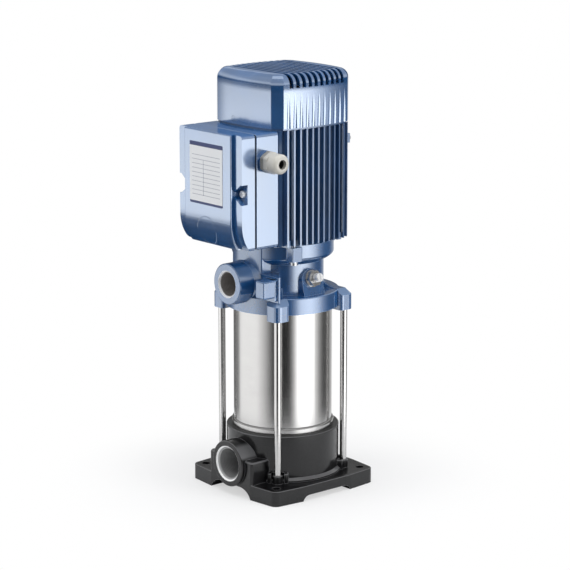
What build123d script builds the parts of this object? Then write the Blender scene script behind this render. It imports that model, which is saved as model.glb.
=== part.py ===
"""Vertical multistage pump: foot casting, stainless barrel, delivery head and finned motor.

Millimetres. The origin is on the pump axis, level with the underside of the feet.
+Z is up, both pipe ports and the terminal box face -Y, the cable gland faces +X.
"""
import os
from math import asin, atan2, cos, degrees, radians, sin, sqrt

from build123d import *

# Clearances
MOVING_GAP = 0.35
RUNNING_FIT = 0.04
SEAT_GAP = 0.1

# Foot casting
FOOT_HALF = 88.5
FOOT_CORNER_HALF = 84.0
FOOT_CORNER_R = 9.0
FOOT_THICK = 20.0
ARCH_HALF = 40.0
ARCH_PORT_RISE = 12.5
ARCH_PORT_BEND = 21.0
ARCH_SIDE_RISE = 7.0
ARCH_SIDE_BEND = 10.0
HOLE_PITCH = 143.0
HOLE_R = 5.5
BOWL_R = 73.4
BOWL_TOP_Z = 80.0
BOWL_RIM_R = 1.5
BOWL_CHAMBER_R = 58.0
BOWL_FLOOR = 12.0
BOWL_SKIRT = 4.0

# Barrel
BARREL_R = 63.8
BARREL_WALL = 1.5
BARREL_FOOT_Z = 74.0
BEAD_R = 66.3
BEAD_TOP_Z = 88.5
BEAD_ROUND = 2.5
O_RING_R = 1.5
O_RING_LOW = 2.5
O_RING_HIGH = 6.0

# Tie rods
ROD_PITCH = 112.0
ROD_R = 4.5
ROD_HOLE_R = 4.9
ROD_BOSS_R = 6.4
ROD_BOSS_HIGH = 11.0
ROD_WEB_WIDE = 27.0
ROD_WEB_LONG = 16.0
ROD_WEB_HIGH = 13.0
ROD_GROOVE_R = 8.5
ROD_HEAD_FLATS = 15.0
ROD_HEAD_HIGH = 6.0
ROD_HEAD_POCKET_R = 9.6
ROD_HEAD_LIFT = 2.5
ROD_THREAD = 16.0

# Pipe ports
SUCTION_Y = -93.4
SUCTION_Z = 40.5
SUCTION_BOSS_R = 30.2
SUCTION_BORE_R = 19.5
SUCTION_RING_R = 23.2
DELIVERY_Y = -92.6
DELIVERY_Z = 277.0
DELIVERY_BOSS_R = 26.7
DELIVERY_BORE_R = 15.15
DELIVERY_RING_R = 17.6
FLANK_HALF = 43.0
FLANK_TOP_Z = 50.0
FLANK_DEPTH = 34.0

# Delivery head
HEAD_Z = 239.0
HEAD_R = 72.5
HEAD_RING_HIGH = 21.5
HEAD_SEAT_DEEP = 13.0
HEAD_CHAMBER_R = 44.0
NECK_R = 52.7
LUG_IN = 13.0
LUG_OUT = 9.0
LUG_DROP = 5.5
LUG_CORNER_R = 8.5
LUG_SIDE_R = 5.0
LUG_BEVEL = 8.0
LUG_TOP_Z = 257.0
LUG_RIB_WIDE = 8.0
LUG_RIB_R = 78.0
LUG_RIB_Z = 270.0
TOWER_R = 62.0
TOWER_HALF = 24.0
PAD_HALF = 11.5
PAD_X = 48.5
PAD_Y = -64.0
PAD_Z = 274.0
PAD_HIGH = 28.0
SHELF_X = 63.0
SHELF_Y = -60.5
SHELF_TOP_Z = 291.0
MOTOR_FLANGE_R = 65.7
MOTOR_FLANGE_Z = 311.0
MOTOR_FLANGE_HIGH = 16.0
FLANGE_ROOT_Z = 300.7
SEAL_LEDGE_Z = 293.0
SEAL_COVER_THICK = 5.0
LANTERN_R = 47.0
EAR_X = 66.0
EAR_Y = 39.0
EAR_LONG = 20.0
EAR_DEEP = 16.0
EAR_HIGH = 18.0
EAR_BOLT_R = 3.0
EAR_BOLT_HEAD_R = 5.0

# Priming plug and vent screw, which lean upwards on the head's +X side
VENT_LEAN = 15.0
VENT_BOSS_R = 17.0
VENT_BOSS_Z = 277.0
VENT_Z = 281.0
VENT_FACE_X = 57.5
PLUG_FLATS = 19.0
PLUG_HIGH = 7.5
PLUG_THREAD_R = 8.0
PLUG_THREAD = 9.0
VENT_STEM_R = 3.2
VENT_HEAD_R = 5.6
VENT_HEAD_LONG = 9.0

# Hydraulic stages
STAGES = 5
STAGE_PITCH = 28.0
STAGE_Z = 92.0
STAGE_WALL = 2.5
STAGE_FLOOR = 3.0
EYE_R = 15.0
NECK_RING = 4.0
IMPELLER_R = 44.0
BLADES = 6
BLADE_THICK = 1.8
SHROUD = 1.5
PASSAGE = 5.5
VANES = 6
PUMP_SHAFT_R = 7.0
HUB_R = 11.0
SPIDER_ARMS = 4

# Motor
FRAME_HALF = 61.8
FRAME_BULGE = 8.2
FRAME_CHAMFER = 9.2
FRAME_EDGE_R = 2.4
FRAME_CORE_R = 58.0
FRAME_CORE_HALF = 50.0
FRAME_BORE_R = 54.0
FRAME_FOOT_GAP = 2.0
FRAME_TOP_Z = 476.0
FIN_PITCH = 9.3
FIN_THICK = 2.4
FINS_EACH_WAY = 6
TIE_X = 59.0
TIE_R = 2.5
TIE_LUG_HIGH = 9.0
SHIELD_FLANGE = 6.0
SHIELD_SPIGOT = 10.0
MOTOR_SHAFT_R = 10.0
BEARING_R = 20.0
BEARING_WIDE = 12.0
STATOR_R = 53.8
STATOR_BORE_R = 32.0
STATOR_Z = 370.0
STATOR_LONG = 70.0
WINDING_LONG = 16.0
AIR_GAP = 0.4

COUPLING_MID_Z = 311.0
COUPLING_HALF = 12.0
COUPLING_R = 18.0
SHIELD_WALL = 7.0
LOWER_BEARING_Z = 332.0
UPPER_BEARING_Z = 467.0
BEARING_SPLIT_R = 14.0
TIE_LUG_HALF = 3.6
TIE_HEAD_FLATS = 8.0
TIE_HEAD_HIGH = 4.0
STATOR_SLOTS = 12
EARTH_X = FIN_PITCH * 5.5
EARTH_Y = 64.5
EARTH_Z = 455.0
EARTH_R = 1.6
BOX_PAD_HALF = 40.0

# Fan and fan cover
COVER_Z = 478.5
COVER_TOP_Z = 545.5
COVER_WALL = 2.2
COVER_EDGE_R = 13.0
SLOTS = 10
SLOT_WIDE = 5.4
SLOT_DROP = 17.0
FLUTE_R = 4.2
FLUTE_DEEP = 1.1
FLUTE_TOP_Z = 522.0
FAN_BLADES = 7
FAN_R = 50.0
FAN_Z = 492.0
FAN_HIGH = 26.0
FAN_HUB_R = 15.0

FLUTE_LEAN = 1.5
SCOOP_X = 11.0
SCOOP_R = 80.0
SCOOP_DEEP = 1.2
COVER_SCREW_Z = 485.0
COVER_SCREW_R = 1.6
COVER_DIMPLE = 1.2
COVER_SCREW_ALONG = 14.0

# Terminal box
BOX_HALF = 62.0
BOX_Z = 331.0
BOX_TOP_Z = 476.0
BOX_BACK_Y = -60.5
BOX_SEAM_Y = -95.7
LID_Y = -118.0
PANEL_Y = -123.0
PANEL_HALF = 46.0
LID_BEND_R = 50.0
LID_BEND_Z = 364.0
BOX_WALL = 3.0
BOX_CORNER_R = 4.0
NOTCH_Z = 402.5
NOTCH_HIGH = 25.0
NOTCH_DEEP = 9.0
SCREW_X = 54.0
SCREW_HEAD_R = 4.4
GASKET = 2.2
GASKET_INSET = 1.6
BOX_EDGE_R = 0.8
PANEL_EDGE_R = 1.5

SCREW_R = 2.0
BOARD_HALF = 30.0
BOARD_Z = 412.0
STUD_R = 2.5
STUD_PITCH = 13.0
CAP_R = 14.0
CAP_LONG = 78.0
CAP_Z = 352.0

# Cable gland
GLAND_Y = -80.0
GLAND_Z = 441.0
GLAND_FLANGE_R = 13.6
GLAND_LONG = 32.0
GLAND_FLATS = 25.0
GLAND_HEX_R = 13.8
GLAND_HEX_LONG = 7.0
GLAND_DOME_R = 12.6
GLAND_DOME_ROUND = 5.0
GLAND_HOLE_R = 6.0
GLAND_THREAD_R = 8.0
GLAND_BOSS_HIGH = 4.0
GLAND_SHOULDER = 6.0
GLAND_SEAL_IN = 12.0
GLAND_SEAL_LONG = 7.0
GLAND_SEAL_WALL = 3.0

os.makedirs("parts", exist_ok=True)


def save(name, *pieces):
    """Write one node, a single solid or a group of like solids."""
    solids = [solid for piece in pieces for solid in piece.solids()]
    node = solids[0] if len(solids) == 1 else Compound(solids)
    export_step(node, f"parts/{name}.step")


def tube(r_out, r_in, z_low, z_high):
    """A ring on the pump axis."""
    outer = Pos(0, 0, (z_low + z_high) / 2) * Cylinder(r_out, z_high - z_low)
    if r_in <= 0:
        return outer
    return outer - Pos(0, 0, (z_low + z_high) / 2) * Cylinder(r_in, z_high - z_low + 1)


def rod_between(start, axis, radius, length):
    """A cylinder from a point along an axis."""
    plane = Plane(origin=start, z_dir=axis)
    return extrude(plane * Circle(radius), length)


def block(x_low, x_high, y_low, y_high, z_low, z_high):
    """A box given by its limits."""
    centre = Pos((x_low + x_high) / 2, (y_low + y_high) / 2, (z_low + z_high) / 2)
    return centre * Box(x_high - x_low, y_high - y_low, z_high - z_low)


def around(count, make, start=0.0):
    """Copies of a solid turned evenly about the pump axis."""
    return [Rot(0, 0, start + 360 / count * i) * make for i in range(count)]


def four_corners(half_x, half_y):
    """The four places of a rectangular pattern."""
    return [(sx * half_x, sy * half_y) for sx in (-1, 1) for sy in (-1, 1)]


def hex_prism(flats, high):
    """A hexagon bar that stands on its origin."""
    return extrude(RegularPolygon(flats / 2, 6, major_radius=False), high)


# Derived places
ROD_HALF = ROD_PITCH / 2
ROD_TOP_Z = HEAD_Z - LUG_DROP + ROD_THREAD
BARREL_BORE_R = BARREL_R - BARREL_WALL
BARREL_TOP_Z = HEAD_Z + HEAD_SEAT_DEEP - SEAT_GAP
STACK_TOP_Z = STAGE_Z + STAGES * STAGE_PITCH
STACK_R = BARREL_BORE_R - SEAT_GAP
MOTOR_Z = MOTOR_FLANGE_Z + MOTOR_FLANGE_HIGH
FRAME_FOOT_Z = MOTOR_Z + FRAME_FOOT_GAP
TIE_Y = FIN_PITCH * 4.5
VENT_AXIS = Vector(cos(radians(VENT_LEAN)), 0, sin(radians(VENT_LEAN)))
VENT_FACE = Vector(VENT_FACE_X, 0, VENT_Z)
LANTERN_SEAL_Z = SEAL_LEDGE_Z + SEAL_COVER_THICK
CORNER_HALF_TURN = radians(45) + 2 * atan2(FRAME_BULGE, FRAME_HALF)
CHAMFER_SHRINK = (1 / sin(CORNER_HALF_TURN) - 1) / cos(CORNER_HALF_TURN)


def bulged_outline(inset):
    """The motor's outline, set in all round: bowed sides with a flat across each corner."""
    half = FRAME_HALF - inset
    mid = half + FRAME_BULGE
    sides = [
        ThreePointArc((half, -half), (mid, 0), (half, half)),
        ThreePointArc((half, half), (0, mid), (-half, half)),
        ThreePointArc((-half, half), (-mid, 0), (-half, -half)),
        ThreePointArc((-half, -half), (0, -mid), (half, -half)),
    ]
    face = make_face(sides)
    face = chamfer(face.vertices(), FRAME_CHAMFER - CHAMFER_SHRINK * inset)
    return fillet(face.vertices(), max(FRAME_EDGE_R - inset, FRAME_EDGE_R / 4))


def foot_outline():
    """The foot's outline: straight sides that taper towards the four ears."""
    quarter = [
        (-FOOT_CORNER_HALF, -FOOT_CORNER_HALF),
        (-ARCH_HALF, -FOOT_HALF),
        (ARCH_HALF, -FOOT_HALF),
    ]
    points = []
    for turn in range(4):
        for x, y in quarter:
            for _ in range(turn):
                x, y = -y, x
            points.append((x, y))
    face = make_face(Polyline(*points, close=True))
    corners = [v for v in face.vertices() if abs(abs(v.X) - abs(v.Y)) < 1]
    return fillet(corners, FOOT_CORNER_R)


def arch_tunnel(half, rise, bend):
    """The space under the foot from one side to the other, along Y."""
    soft = bend * 0.45
    outline = [
        Line((-half, -1), (-half, 0)),
        Bezier((-half, 0), (soft * 0.3 - half, rise * 0.6), (bend - soft - half, rise), (bend - half, rise)),
        Line((bend - half, rise), (half - bend, rise)),
        Bezier((half - bend, rise), (half - bend + soft, rise), (half - soft * 0.3, rise * 0.6), (half, 0)),
        Line((half, 0), (half, -1)),
        Line((half, -1), (-half, -1)),
    ]
    face = Plane.XZ * make_face(outline)
    return extrude(face, FOOT_HALF + 10, both=True)


def make_foot():
    """The cast foot: ears, arches, bowl, suction port, its flanks and the rod bosses."""
    body = extrude(foot_outline(), FOOT_THICK)
    top_edges = body.faces().sort_by(Axis.Z)[-1].edges()
    body = fillet(top_edges, 1.6)
    port_arch = arch_tunnel(ARCH_HALF, ARCH_PORT_RISE, ARCH_PORT_BEND)
    side_arch = Rot(0, 0, 90) * arch_tunnel(ARCH_HALF, ARCH_SIDE_RISE, ARCH_SIDE_BEND)
    body -= port_arch
    body -= side_arch

    profile = make_face([
        Line((0, FOOT_THICK - 4), (BOWL_R + BOWL_SKIRT, FOOT_THICK - 4)),
        Line((BOWL_R + BOWL_SKIRT, FOOT_THICK - 4), (BOWL_R + BOWL_SKIRT, FOOT_THICK + 2)),
        Line((BOWL_R + BOWL_SKIRT, FOOT_THICK + 2), (BOWL_R, FOOT_THICK + 5)),
        Line((BOWL_R, FOOT_THICK + 5), (BOWL_R, BOWL_TOP_Z)),
        Line((BOWL_R, BOWL_TOP_Z), (0, BOWL_TOP_Z)),
        Line((0, BOWL_TOP_Z), (0, FOOT_THICK - 4)),
    ])
    bowl = revolve(Plane.XZ * profile, Axis.Z)
    body += fillet(bowl.edges().group_by(Axis.Z)[-1], BOWL_RIM_R)

    flank_back = FLANK_DEPTH - FOOT_HALF
    flank = block(-FLANK_HALF, FLANK_HALF, -FOOT_HALF, flank_back, ARCH_PORT_RISE + 2, FLANK_TOP_Z)
    flank = fillet(flank.edges().filter_by(Axis.Z) + flank.faces().sort_by(Axis.Z)[-1].edges(), 4)
    body += flank
    boss = rod_between((0, SUCTION_Y, SUCTION_Z), (0, 1, 0), SUCTION_BOSS_R, -SUCTION_Y - 30)
    boss = fillet(boss.edges().group_by(Axis.Y)[0], 1.6)
    body += boss

    rod_r = ROD_HALF * sqrt(2)
    half = ROD_WEB_WIDE / 2
    web = block(rod_r + 1 - ROD_WEB_LONG, rod_r + 1, -half, half, FOOT_THICK - 4, FOOT_THICK + ROD_WEB_HIGH)
    web = fillet(web.edges().filter_by(Axis.Z) + web.faces().sort_by(Axis.Z)[-1].edges(), 3)
    web -= Pos(rod_r, 0, FOOT_THICK) * Cylinder(ROD_GROOVE_R, 2 * ROD_WEB_HIGH + 2)
    for x, y in four_corners(ROD_HALF, ROD_HALF):
        body += Rot(0, 0, degrees(atan2(y, x))) * web
        collar = Pos(x, y, FOOT_THICK + ROD_BOSS_HIGH / 2 - 1) * Cylinder(ROD_BOSS_R, ROD_BOSS_HIGH + 2)
        body += chamfer(collar.edges().group_by(Axis.Z)[-1], 1)

    chamber_z = BOWL_FLOOR + 3
    body -= tube(BOWL_CHAMBER_R, 0, chamber_z + 8, BARREL_FOOT_Z + 1)
    body -= tube(BOWL_CHAMBER_R - 14, 0, chamber_z, chamber_z + 9)
    body -= tube(BARREL_R + SEAT_GAP, 0, BARREL_FOOT_Z, BOWL_TOP_Z + 1)
    groove_z = BARREL_FOOT_Z + O_RING_LOW
    body -= tube(BARREL_R + 2 * O_RING_R, 0, groove_z - O_RING_R, groove_z + O_RING_R)
    body -= rod_between((0, SUCTION_Y - 1, SUCTION_Z), (0, 1, 0), SUCTION_BORE_R, -SUCTION_Y - 20)
    mouth_deep = SUCTION_RING_R - SUCTION_BORE_R
    mouth = Plane(origin=(0, SUCTION_Y, SUCTION_Z), z_dir=(0, 1, 0))
    body -= loft([mouth * Circle(SUCTION_RING_R), mouth.offset(mouth_deep) * Circle(SUCTION_BORE_R)])

    for x, y in four_corners(ROD_HALF, ROD_HALF):
        body -= Pos(x, y, 25) * Cylinder(ROD_HOLE_R, 60)
        pocket_high = ROD_HEAD_LIFT + ROD_HEAD_HIGH
        body -= Pos(x, y, pocket_high / 2) * Cylinder(ROD_HEAD_POCKET_R, pocket_high)
    for x, y in four_corners(HOLE_PITCH / 2, HOLE_PITCH / 2):
        body -= Pos(x, y, FOOT_THICK / 2) * Cylinder(HOLE_R, FOOT_THICK + 4)
    return body


def make_tie_rods():
    """Four long bolts: heads in pockets under the foot, threads in the head's lugs."""
    rods = []
    for x, y in four_corners(ROD_HALF, ROD_HALF):
        seat_z = ROD_HEAD_LIFT + ROD_HEAD_HIGH
        rod = Pos(x, y, (seat_z + ROD_TOP_Z) / 2) * Cylinder(ROD_R, ROD_TOP_Z - seat_z)
        head = Pos(x, y, ROD_HEAD_LIFT) * hex_prism(ROD_HEAD_FLATS, ROD_HEAD_HIGH)
        rods.append(rod + head)
    return rods


def make_o_rings():
    """The two ring seals between the barrel and its castings."""
    ring_r = BARREL_R + O_RING_R
    heights = (BARREL_FOOT_Z + O_RING_LOW, HEAD_Z + O_RING_HIGH)
    return [Pos(0, 0, z) * Torus(ring_r, O_RING_R) for z in heights]


def make_barrel():
    """The steel barrel with the bead that rests on the foot's rim."""
    barrel = tube(BARREL_R, BARREL_BORE_R, BARREL_FOOT_Z, BARREL_TOP_Z)
    bead = tube(BEAD_R, BARREL_BORE_R, BOWL_TOP_Z, BEAD_TOP_Z)
    rim = bead.edges().group_by(Axis.Z)[-1].sort_by(SortBy.LENGTH)[-1]
    return barrel + fillet(rim, BEAD_ROUND)


def make_rod_lug():
    """The head's lug over one rod, in the +X +Y corner, with its rib up to the neck."""
    low = HEAD_Z - LUG_DROP
    inner, outer = ROD_HALF - LUG_IN, ROD_HALF + LUG_OUT
    lug = block(inner, outer, inner, outer, low, LUG_TOP_Z)
    uprights = lug.edges().filter_by(Axis.Z)
    lug = fillet([e for e in uprights if e.center().X > ROD_HALF and e.center().Y > ROD_HALF], LUG_CORNER_R)
    rim = lug.faces().sort_by(Axis.Z)[-1].edges()
    lug = chamfer([e for e in rim if e.center().X + e.center().Y > 2 * ROD_HALF], LUG_BEVEL)
    uprights = lug.edges().filter_by(Axis.Z)
    lug = fillet([e for e in uprights if abs(e.center().X - e.center().Y) > LUG_IN], LUG_SIDE_R)
    root = NECK_R - 4
    rib_low = LUG_TOP_Z - LUG_BEVEL - 1
    rib = make_face([
        Line((root, rib_low), (LUG_RIB_R, rib_low)),
        Line((LUG_RIB_R, rib_low), (LUG_RIB_R, LUG_TOP_Z)),
        Bezier((LUG_RIB_R, LUG_TOP_Z), (LUG_RIB_R - 10, LUG_TOP_Z + 4),
               (NECK_R + 5, LUG_TOP_Z + 5), (NECK_R, LUG_RIB_Z)),
        Line((NECK_R, LUG_RIB_Z), (root, LUG_RIB_Z)),
        Line((root, LUG_RIB_Z), (root, rib_low)),
    ])
    return lug + Rot(0, 0, 45) * extrude(Plane.XZ * rib, LUG_RIB_WIDE / 2, both=True)


def make_head():
    """The blue delivery head: ring, lugs, neck, port, water way and motor flange."""
    ring_top = HEAD_Z + HEAD_RING_HIGH
    ring = Pos(0, 0, HEAD_Z + HEAD_RING_HIGH / 2) * Cylinder(HEAD_R, HEAD_RING_HIGH)
    ring = fillet(ring.edges().group_by(Axis.Z)[-1], 1.5)
    body = ring + tube(NECK_R, 0, ring_top - 1, MOTOR_Z - 1)
    flange = make_face([
        Line((0, MOTOR_Z), (MOTOR_FLANGE_R, MOTOR_Z)),
        Line((MOTOR_FLANGE_R, MOTOR_Z), (MOTOR_FLANGE_R, MOTOR_FLANGE_Z)),
        Bezier((MOTOR_FLANGE_R, MOTOR_FLANGE_Z), (MOTOR_FLANGE_R, MOTOR_FLANGE_Z - 5),
               (NECK_R + 5, FLANGE_ROOT_Z + 2), (NECK_R - 1, FLANGE_ROOT_Z - 1)),
        Line((NECK_R - 1, FLANGE_ROOT_Z - 1), (0, FLANGE_ROOT_Z - 1)),
        Line((0, FLANGE_ROOT_Z - 1), (0, MOTOR_Z)),
    ])
    body += revolve(Plane.XZ * flange, Axis.Z)
    tower_low, tower_high = ring_top - 6, MOTOR_FLANGE_Z + 2
    tower = tube(TOWER_R, 0, tower_low, tower_high)
    body += tower & block(-TOWER_HALF, TOWER_HALF, -TOWER_R - 5, 0, tower_low, tower_high)
    boss = rod_between((0, DELIVERY_Y, DELIVERY_Z), (0, 1, 0), DELIVERY_BOSS_R, -DELIVERY_Y - 20)
    body += fillet(boss.edges().group_by(Axis.Y)[0], 1.6)
    for lug in around(4, make_rod_lug()):
        body += lug

    pad_low, pad_high = PAD_Z - PAD_HIGH / 2, PAD_Z + PAD_HIGH / 2
    pad = block(PAD_X - PAD_HALF, PAD_X + PAD_HALF, PAD_Y, SHELF_Y + 3, pad_low, pad_high)
    tower_side = TOWER_HALF - 2
    shelf_plan = make_face(Polyline(
        (tower_side, SHELF_Y + 5), (TOWER_HALF + 1.5, SHELF_Y), (SHELF_X, SHELF_Y), (SHELF_X, SHELF_Y + 3.5),
        (NECK_R * 0.69, -NECK_R * 0.7), (tower_side, -NECK_R * 0.7), close=True))
    shelf = Pos(0, 0, ring_top - 2) * extrude(shelf_plan, SHELF_TOP_Z - ring_top + 2)
    shelf = fillet([e for e in shelf.edges().filter_by(Axis.Z) if e.center().X > TOWER_HALF + 20], 1.5)
    body += fillet(pad.edges().filter_by(Axis.Y), 1.5) + shelf

    vent = Plane(origin=VENT_FACE, x_dir=(0, 1, 0), z_dir=VENT_AXIS)
    arch_low = VENT_Z - ring_top + 6
    arch = Circle(VENT_BOSS_R) + Pos(0, -arch_low / 2) * Rectangle(2 * VENT_BOSS_R, arch_low)
    vent_boss = extrude(vent * Pos(0, VENT_BOSS_Z - VENT_Z) * arch, -24)
    body += vent_boss - tube(200, 0, 0, ring_top - 3)

    for side in (1, -1):
        x, y = side * EAR_X, -side * EAR_Y
        inner_x, inner_y = side * (EAR_X - EAR_LONG), -side * (EAR_Y - EAR_DEEP)
        ear = block(min(x, inner_x), max(x, inner_x), min(y, inner_y), max(y, inner_y),
                    MOTOR_Z - 1 - EAR_HIGH, MOTOR_Z - 1)
        body += fillet(ear.edges().filter_by(Axis.Z), 1.5)

    body -= tube(HEAD_CHAMBER_R, 0, HEAD_Z - 1, MOTOR_Z + 1)
    body -= tube(LANTERN_R, 0, SEAL_LEDGE_Z, MOTOR_Z + 1)
    body -= tube(BARREL_R + SEAT_GAP, 0, HEAD_Z - LUG_DROP - 1, HEAD_Z + HEAD_SEAT_DEEP)
    groove_z = HEAD_Z + O_RING_HIGH
    body -= tube(BARREL_R + 2 * O_RING_R, 0, groove_z - O_RING_R, groove_z + O_RING_R)
    body -= rod_between((0, DELIVERY_Y - 1, DELIVERY_Z), (0, 1, 0), DELIVERY_BORE_R, -DELIVERY_Y - 30)
    mouth_deep = DELIVERY_RING_R - DELIVERY_BORE_R
    mouth = Plane(origin=(0, DELIVERY_Y, DELIVERY_Z), z_dir=(0, 1, 0))
    body -= loft([mouth * Circle(DELIVERY_RING_R), mouth.offset(mouth_deep) * Circle(DELIVERY_BORE_R)])
    body -= rod_between(VENT_FACE + VENT_AXIS * 3, -VENT_AXIS, PLUG_THREAD_R, 30)
    for x, y in four_corners(ROD_HALF, ROD_HALF):
        body -= Pos(x, y, ROD_TOP_Z - ROD_THREAD) * Cylinder(ROD_R, 2 * ROD_THREAD + 2)
    for side in (1, -1):
        x, y = ear_bolt_place(side)
        body -= Pos(x, y, MOTOR_Z - 14) * Cylinder(EAR_BOLT_R + SEAT_GAP, 30)
        body -= Pos(x, y, MOTOR_Z - 1 - EAR_HIGH - 10) * Cylinder(EAR_BOLT_HEAD_R + 1, 20)
    return body


def ear_bolt_place(side):
    """The centre of the bolt in one of the two ears of the motor flange."""
    return side * (EAR_X - EAR_DEEP / 2), -side * (EAR_Y - EAR_DEEP / 2)


def make_flange_bolts():
    """The two bolts that come up through the ears into the end shield."""
    bolts = []
    head_top = MOTOR_Z - 1 - EAR_HIGH
    shank_long = EAR_HIGH + TIE_LUG_HIGH
    for side in (1, -1):
        x, y = ear_bolt_place(side)
        head = rod_between((x, y, head_top - 5), (0, 0, 1), EAR_BOLT_HEAD_R, 5)
        head -= Pos(x, y, head_top - 6) * hex_prism(5, 4)
        bolts.append(head + rod_between((x, y, head_top), (0, 0, 1), EAR_BOLT_R, shank_long))
    return bolts


def make_priming_plug():
    """The hexagon plug in the head, bored for the vent screw."""
    plane = Plane(origin=VENT_FACE, x_dir=(0, 1, 0), z_dir=VENT_AXIS)
    bar = plane * hex_prism(PLUG_FLATS, PLUG_HIGH)
    round_bar = extrude(plane * Circle(PLUG_FLATS / 2 + 0.9), PLUG_HIGH)
    thread = extrude(plane * Circle(PLUG_THREAD_R - 0.05), -PLUG_THREAD)
    plug = (bar & round_bar) + thread
    plug += extrude(plane * Circle(PLUG_FLATS / 2 + 1.5), 1.2)
    bore = plane.offset(-PLUG_THREAD - 1) * Circle(VENT_STEM_R + RUNNING_FIT)
    return plug - extrude(bore, PLUG_THREAD + PLUG_HIGH + 2)


def make_vent_screw():
    """The slotted needle screw that lets air out through the priming plug."""
    plane = Plane(origin=VENT_FACE, x_dir=(0, 1, 0), z_dir=VENT_AXIS)
    head = extrude(plane.offset(PLUG_HIGH + MOVING_GAP) * Circle(VENT_HEAD_R), VENT_HEAD_LONG)
    head = chamfer(head.edges(), 0.8)
    stem_long = PLUG_THREAD + PLUG_HIGH + 1
    stem = extrude(plane.offset(-PLUG_THREAD) * Circle(VENT_STEM_R), stem_long)
    slot = Pos(0, 0, VENT_HEAD_LONG) * Box(1.6, 2 * VENT_HEAD_R + 2, 5)
    return head + stem - plane.offset(PLUG_HIGH + MOVING_GAP) * slot


def make_inlet_spider():
    """The ring with arms that lifts the first stage off the bowl's ledge."""
    ring = tube(STACK_R, STACK_R - 3, BARREL_FOOT_Z, STAGE_Z)
    hub = tube(HUB_R + 4, HUB_R, BARREL_FOOT_Z, STAGE_Z - 4)
    arm_long = STACK_R - 1 - HUB_R - 2
    arm = Pos(HUB_R + 2 + arm_long / 2, 0, BARREL_FOOT_Z + 6) * Box(arm_long, 5, 10)
    spider = ring + hub
    for one in around(SPIDER_ARMS, arm, 45):
        spider += one
    return spider


def make_stage_casing(index):
    """One stage: a bowl with an eye in its floor and guide vanes round the impeller."""
    low = STAGE_Z + index * STAGE_PITCH
    wall = tube(STACK_R, STACK_R - STAGE_WALL, low, low + STAGE_PITCH)
    floor = tube(STACK_R - 1, EYE_R + NECK_RING + MOVING_GAP, low, low + STAGE_FLOOR)
    casing = wall + floor
    vane_high = STAGE_PITCH - 8
    vane_mid = (IMPELLER_R + STACK_R) / 2 + 1
    vane = Pos(vane_mid, 0, low + 1 + vane_high / 2) * Rot(0, 0, 58) * Box(11, 1.8, vane_high)
    for one in around(VANES, vane):
        casing += one & tube(STACK_R - 1, IMPELLER_R + 2, low, low + STAGE_PITCH)
    return casing


def make_clamp_ring():
    """The sprung ring that presses the stages down from the delivery head."""
    return tube(STACK_R, STACK_R - 8, STACK_TOP_Z, HEAD_Z + HEAD_SEAT_DEEP)


def blade_path(r_in, r_out, sweep):
    """A curve that leaves the hub and trails backwards to the rim."""
    points = []
    steps = 4
    for i in range(steps + 1):
        part = i / steps
        r = r_in + (r_out - r_in) * part
        angle = radians(sweep * part)
        points.append((r * cos(angle), r * sin(angle)))
    return points


def make_blade(r_in, r_out, sweep, thick, z_low, z_high):
    """One upright blade that follows blade_path."""
    line = Spline(*blade_path(r_in, r_out, sweep))
    strip = make_face(offset_loop(line, thick))
    return Pos(0, 0, z_low) * extrude(strip, z_high - z_low)


def offset_loop(line, thick):
    """The closed edge loop that lies thick / 2 each side of a plane curve."""
    sides = []
    for way in (1, -1):
        points = []
        for i in range(6):
            at = line.position_at(i / 5)
            along = line.tangent_at(i / 5)
            points.append((at.X - along.Y * way * thick / 2, at.Y + along.X * way * thick / 2))
        sides.append(points)
    left, right = sides
    return [Spline(*left), Line(left[-1], right[-1]), Spline(*right), Line(left[0], right[0])]


def make_impeller(index):
    """A closed impeller: two shrouds, a neck ring in the eye, a hub and curved blades."""
    low = STAGE_Z + index * STAGE_PITCH + STAGE_FLOOR + 3
    passage_low = low + SHROUD
    passage_high = passage_low + PASSAGE
    impeller = tube(IMPELLER_R, EYE_R, low, passage_low)
    impeller += tube(EYE_R + NECK_RING, EYE_R, low - STAGE_FLOOR - 2, passage_low)
    impeller += tube(IMPELLER_R, PUMP_SHAFT_R, passage_high, passage_high + SHROUD)
    impeller += tube(HUB_R, PUMP_SHAFT_R, passage_low - 1, passage_high + 6)
    blade = make_blade(EYE_R + 1.5, IMPELLER_R - 0.8, -70, BLADE_THICK, passage_low - 0.3, passage_high + 0.3)
    for one in around(BLADES, blade):
        impeller += one
    return impeller


def impeller_hub_span(index):
    """The lowest and highest z of an impeller's hub."""
    low = STAGE_Z + index * STAGE_PITCH + STAGE_FLOOR + 3 + SHROUD
    return low - 1, low + PASSAGE + 6


def make_spacers():
    """The sleeves between the hubs, and from the last hub up to the seal."""
    spacers = []
    for index in range(STAGES):
        low = impeller_hub_span(index)[1]
        high = SEAL_LEDGE_Z - 24 - MOVING_GAP
        if index < STAGES - 1:
            high = impeller_hub_span(index + 1)[0]
        spacers.append(tube(HUB_R - 1, PUMP_SHAFT_R, low, high))
    return spacers


def make_pump_shaft():
    """The pump shaft, from the lower bush to the coupling."""
    bottom = BARREL_FOOT_Z - 6
    shaft = tube(PUMP_SHAFT_R, 0, bottom, COUPLING_MID_Z - 0.5)
    shaft = chamfer(shaft.edges(), 1)
    return shaft


def make_impeller_nut():
    """The nut and washer that hold the impellers from below."""
    top = impeller_hub_span(0)[0]
    nut = Pos(0, 0, top - 7) * hex_prism(19, 6)
    nut += tube(HUB_R - 1, 0, top - 1.2, top)
    return nut - tube(PUMP_SHAFT_R, 0, top - 10, top + 1)


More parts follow.
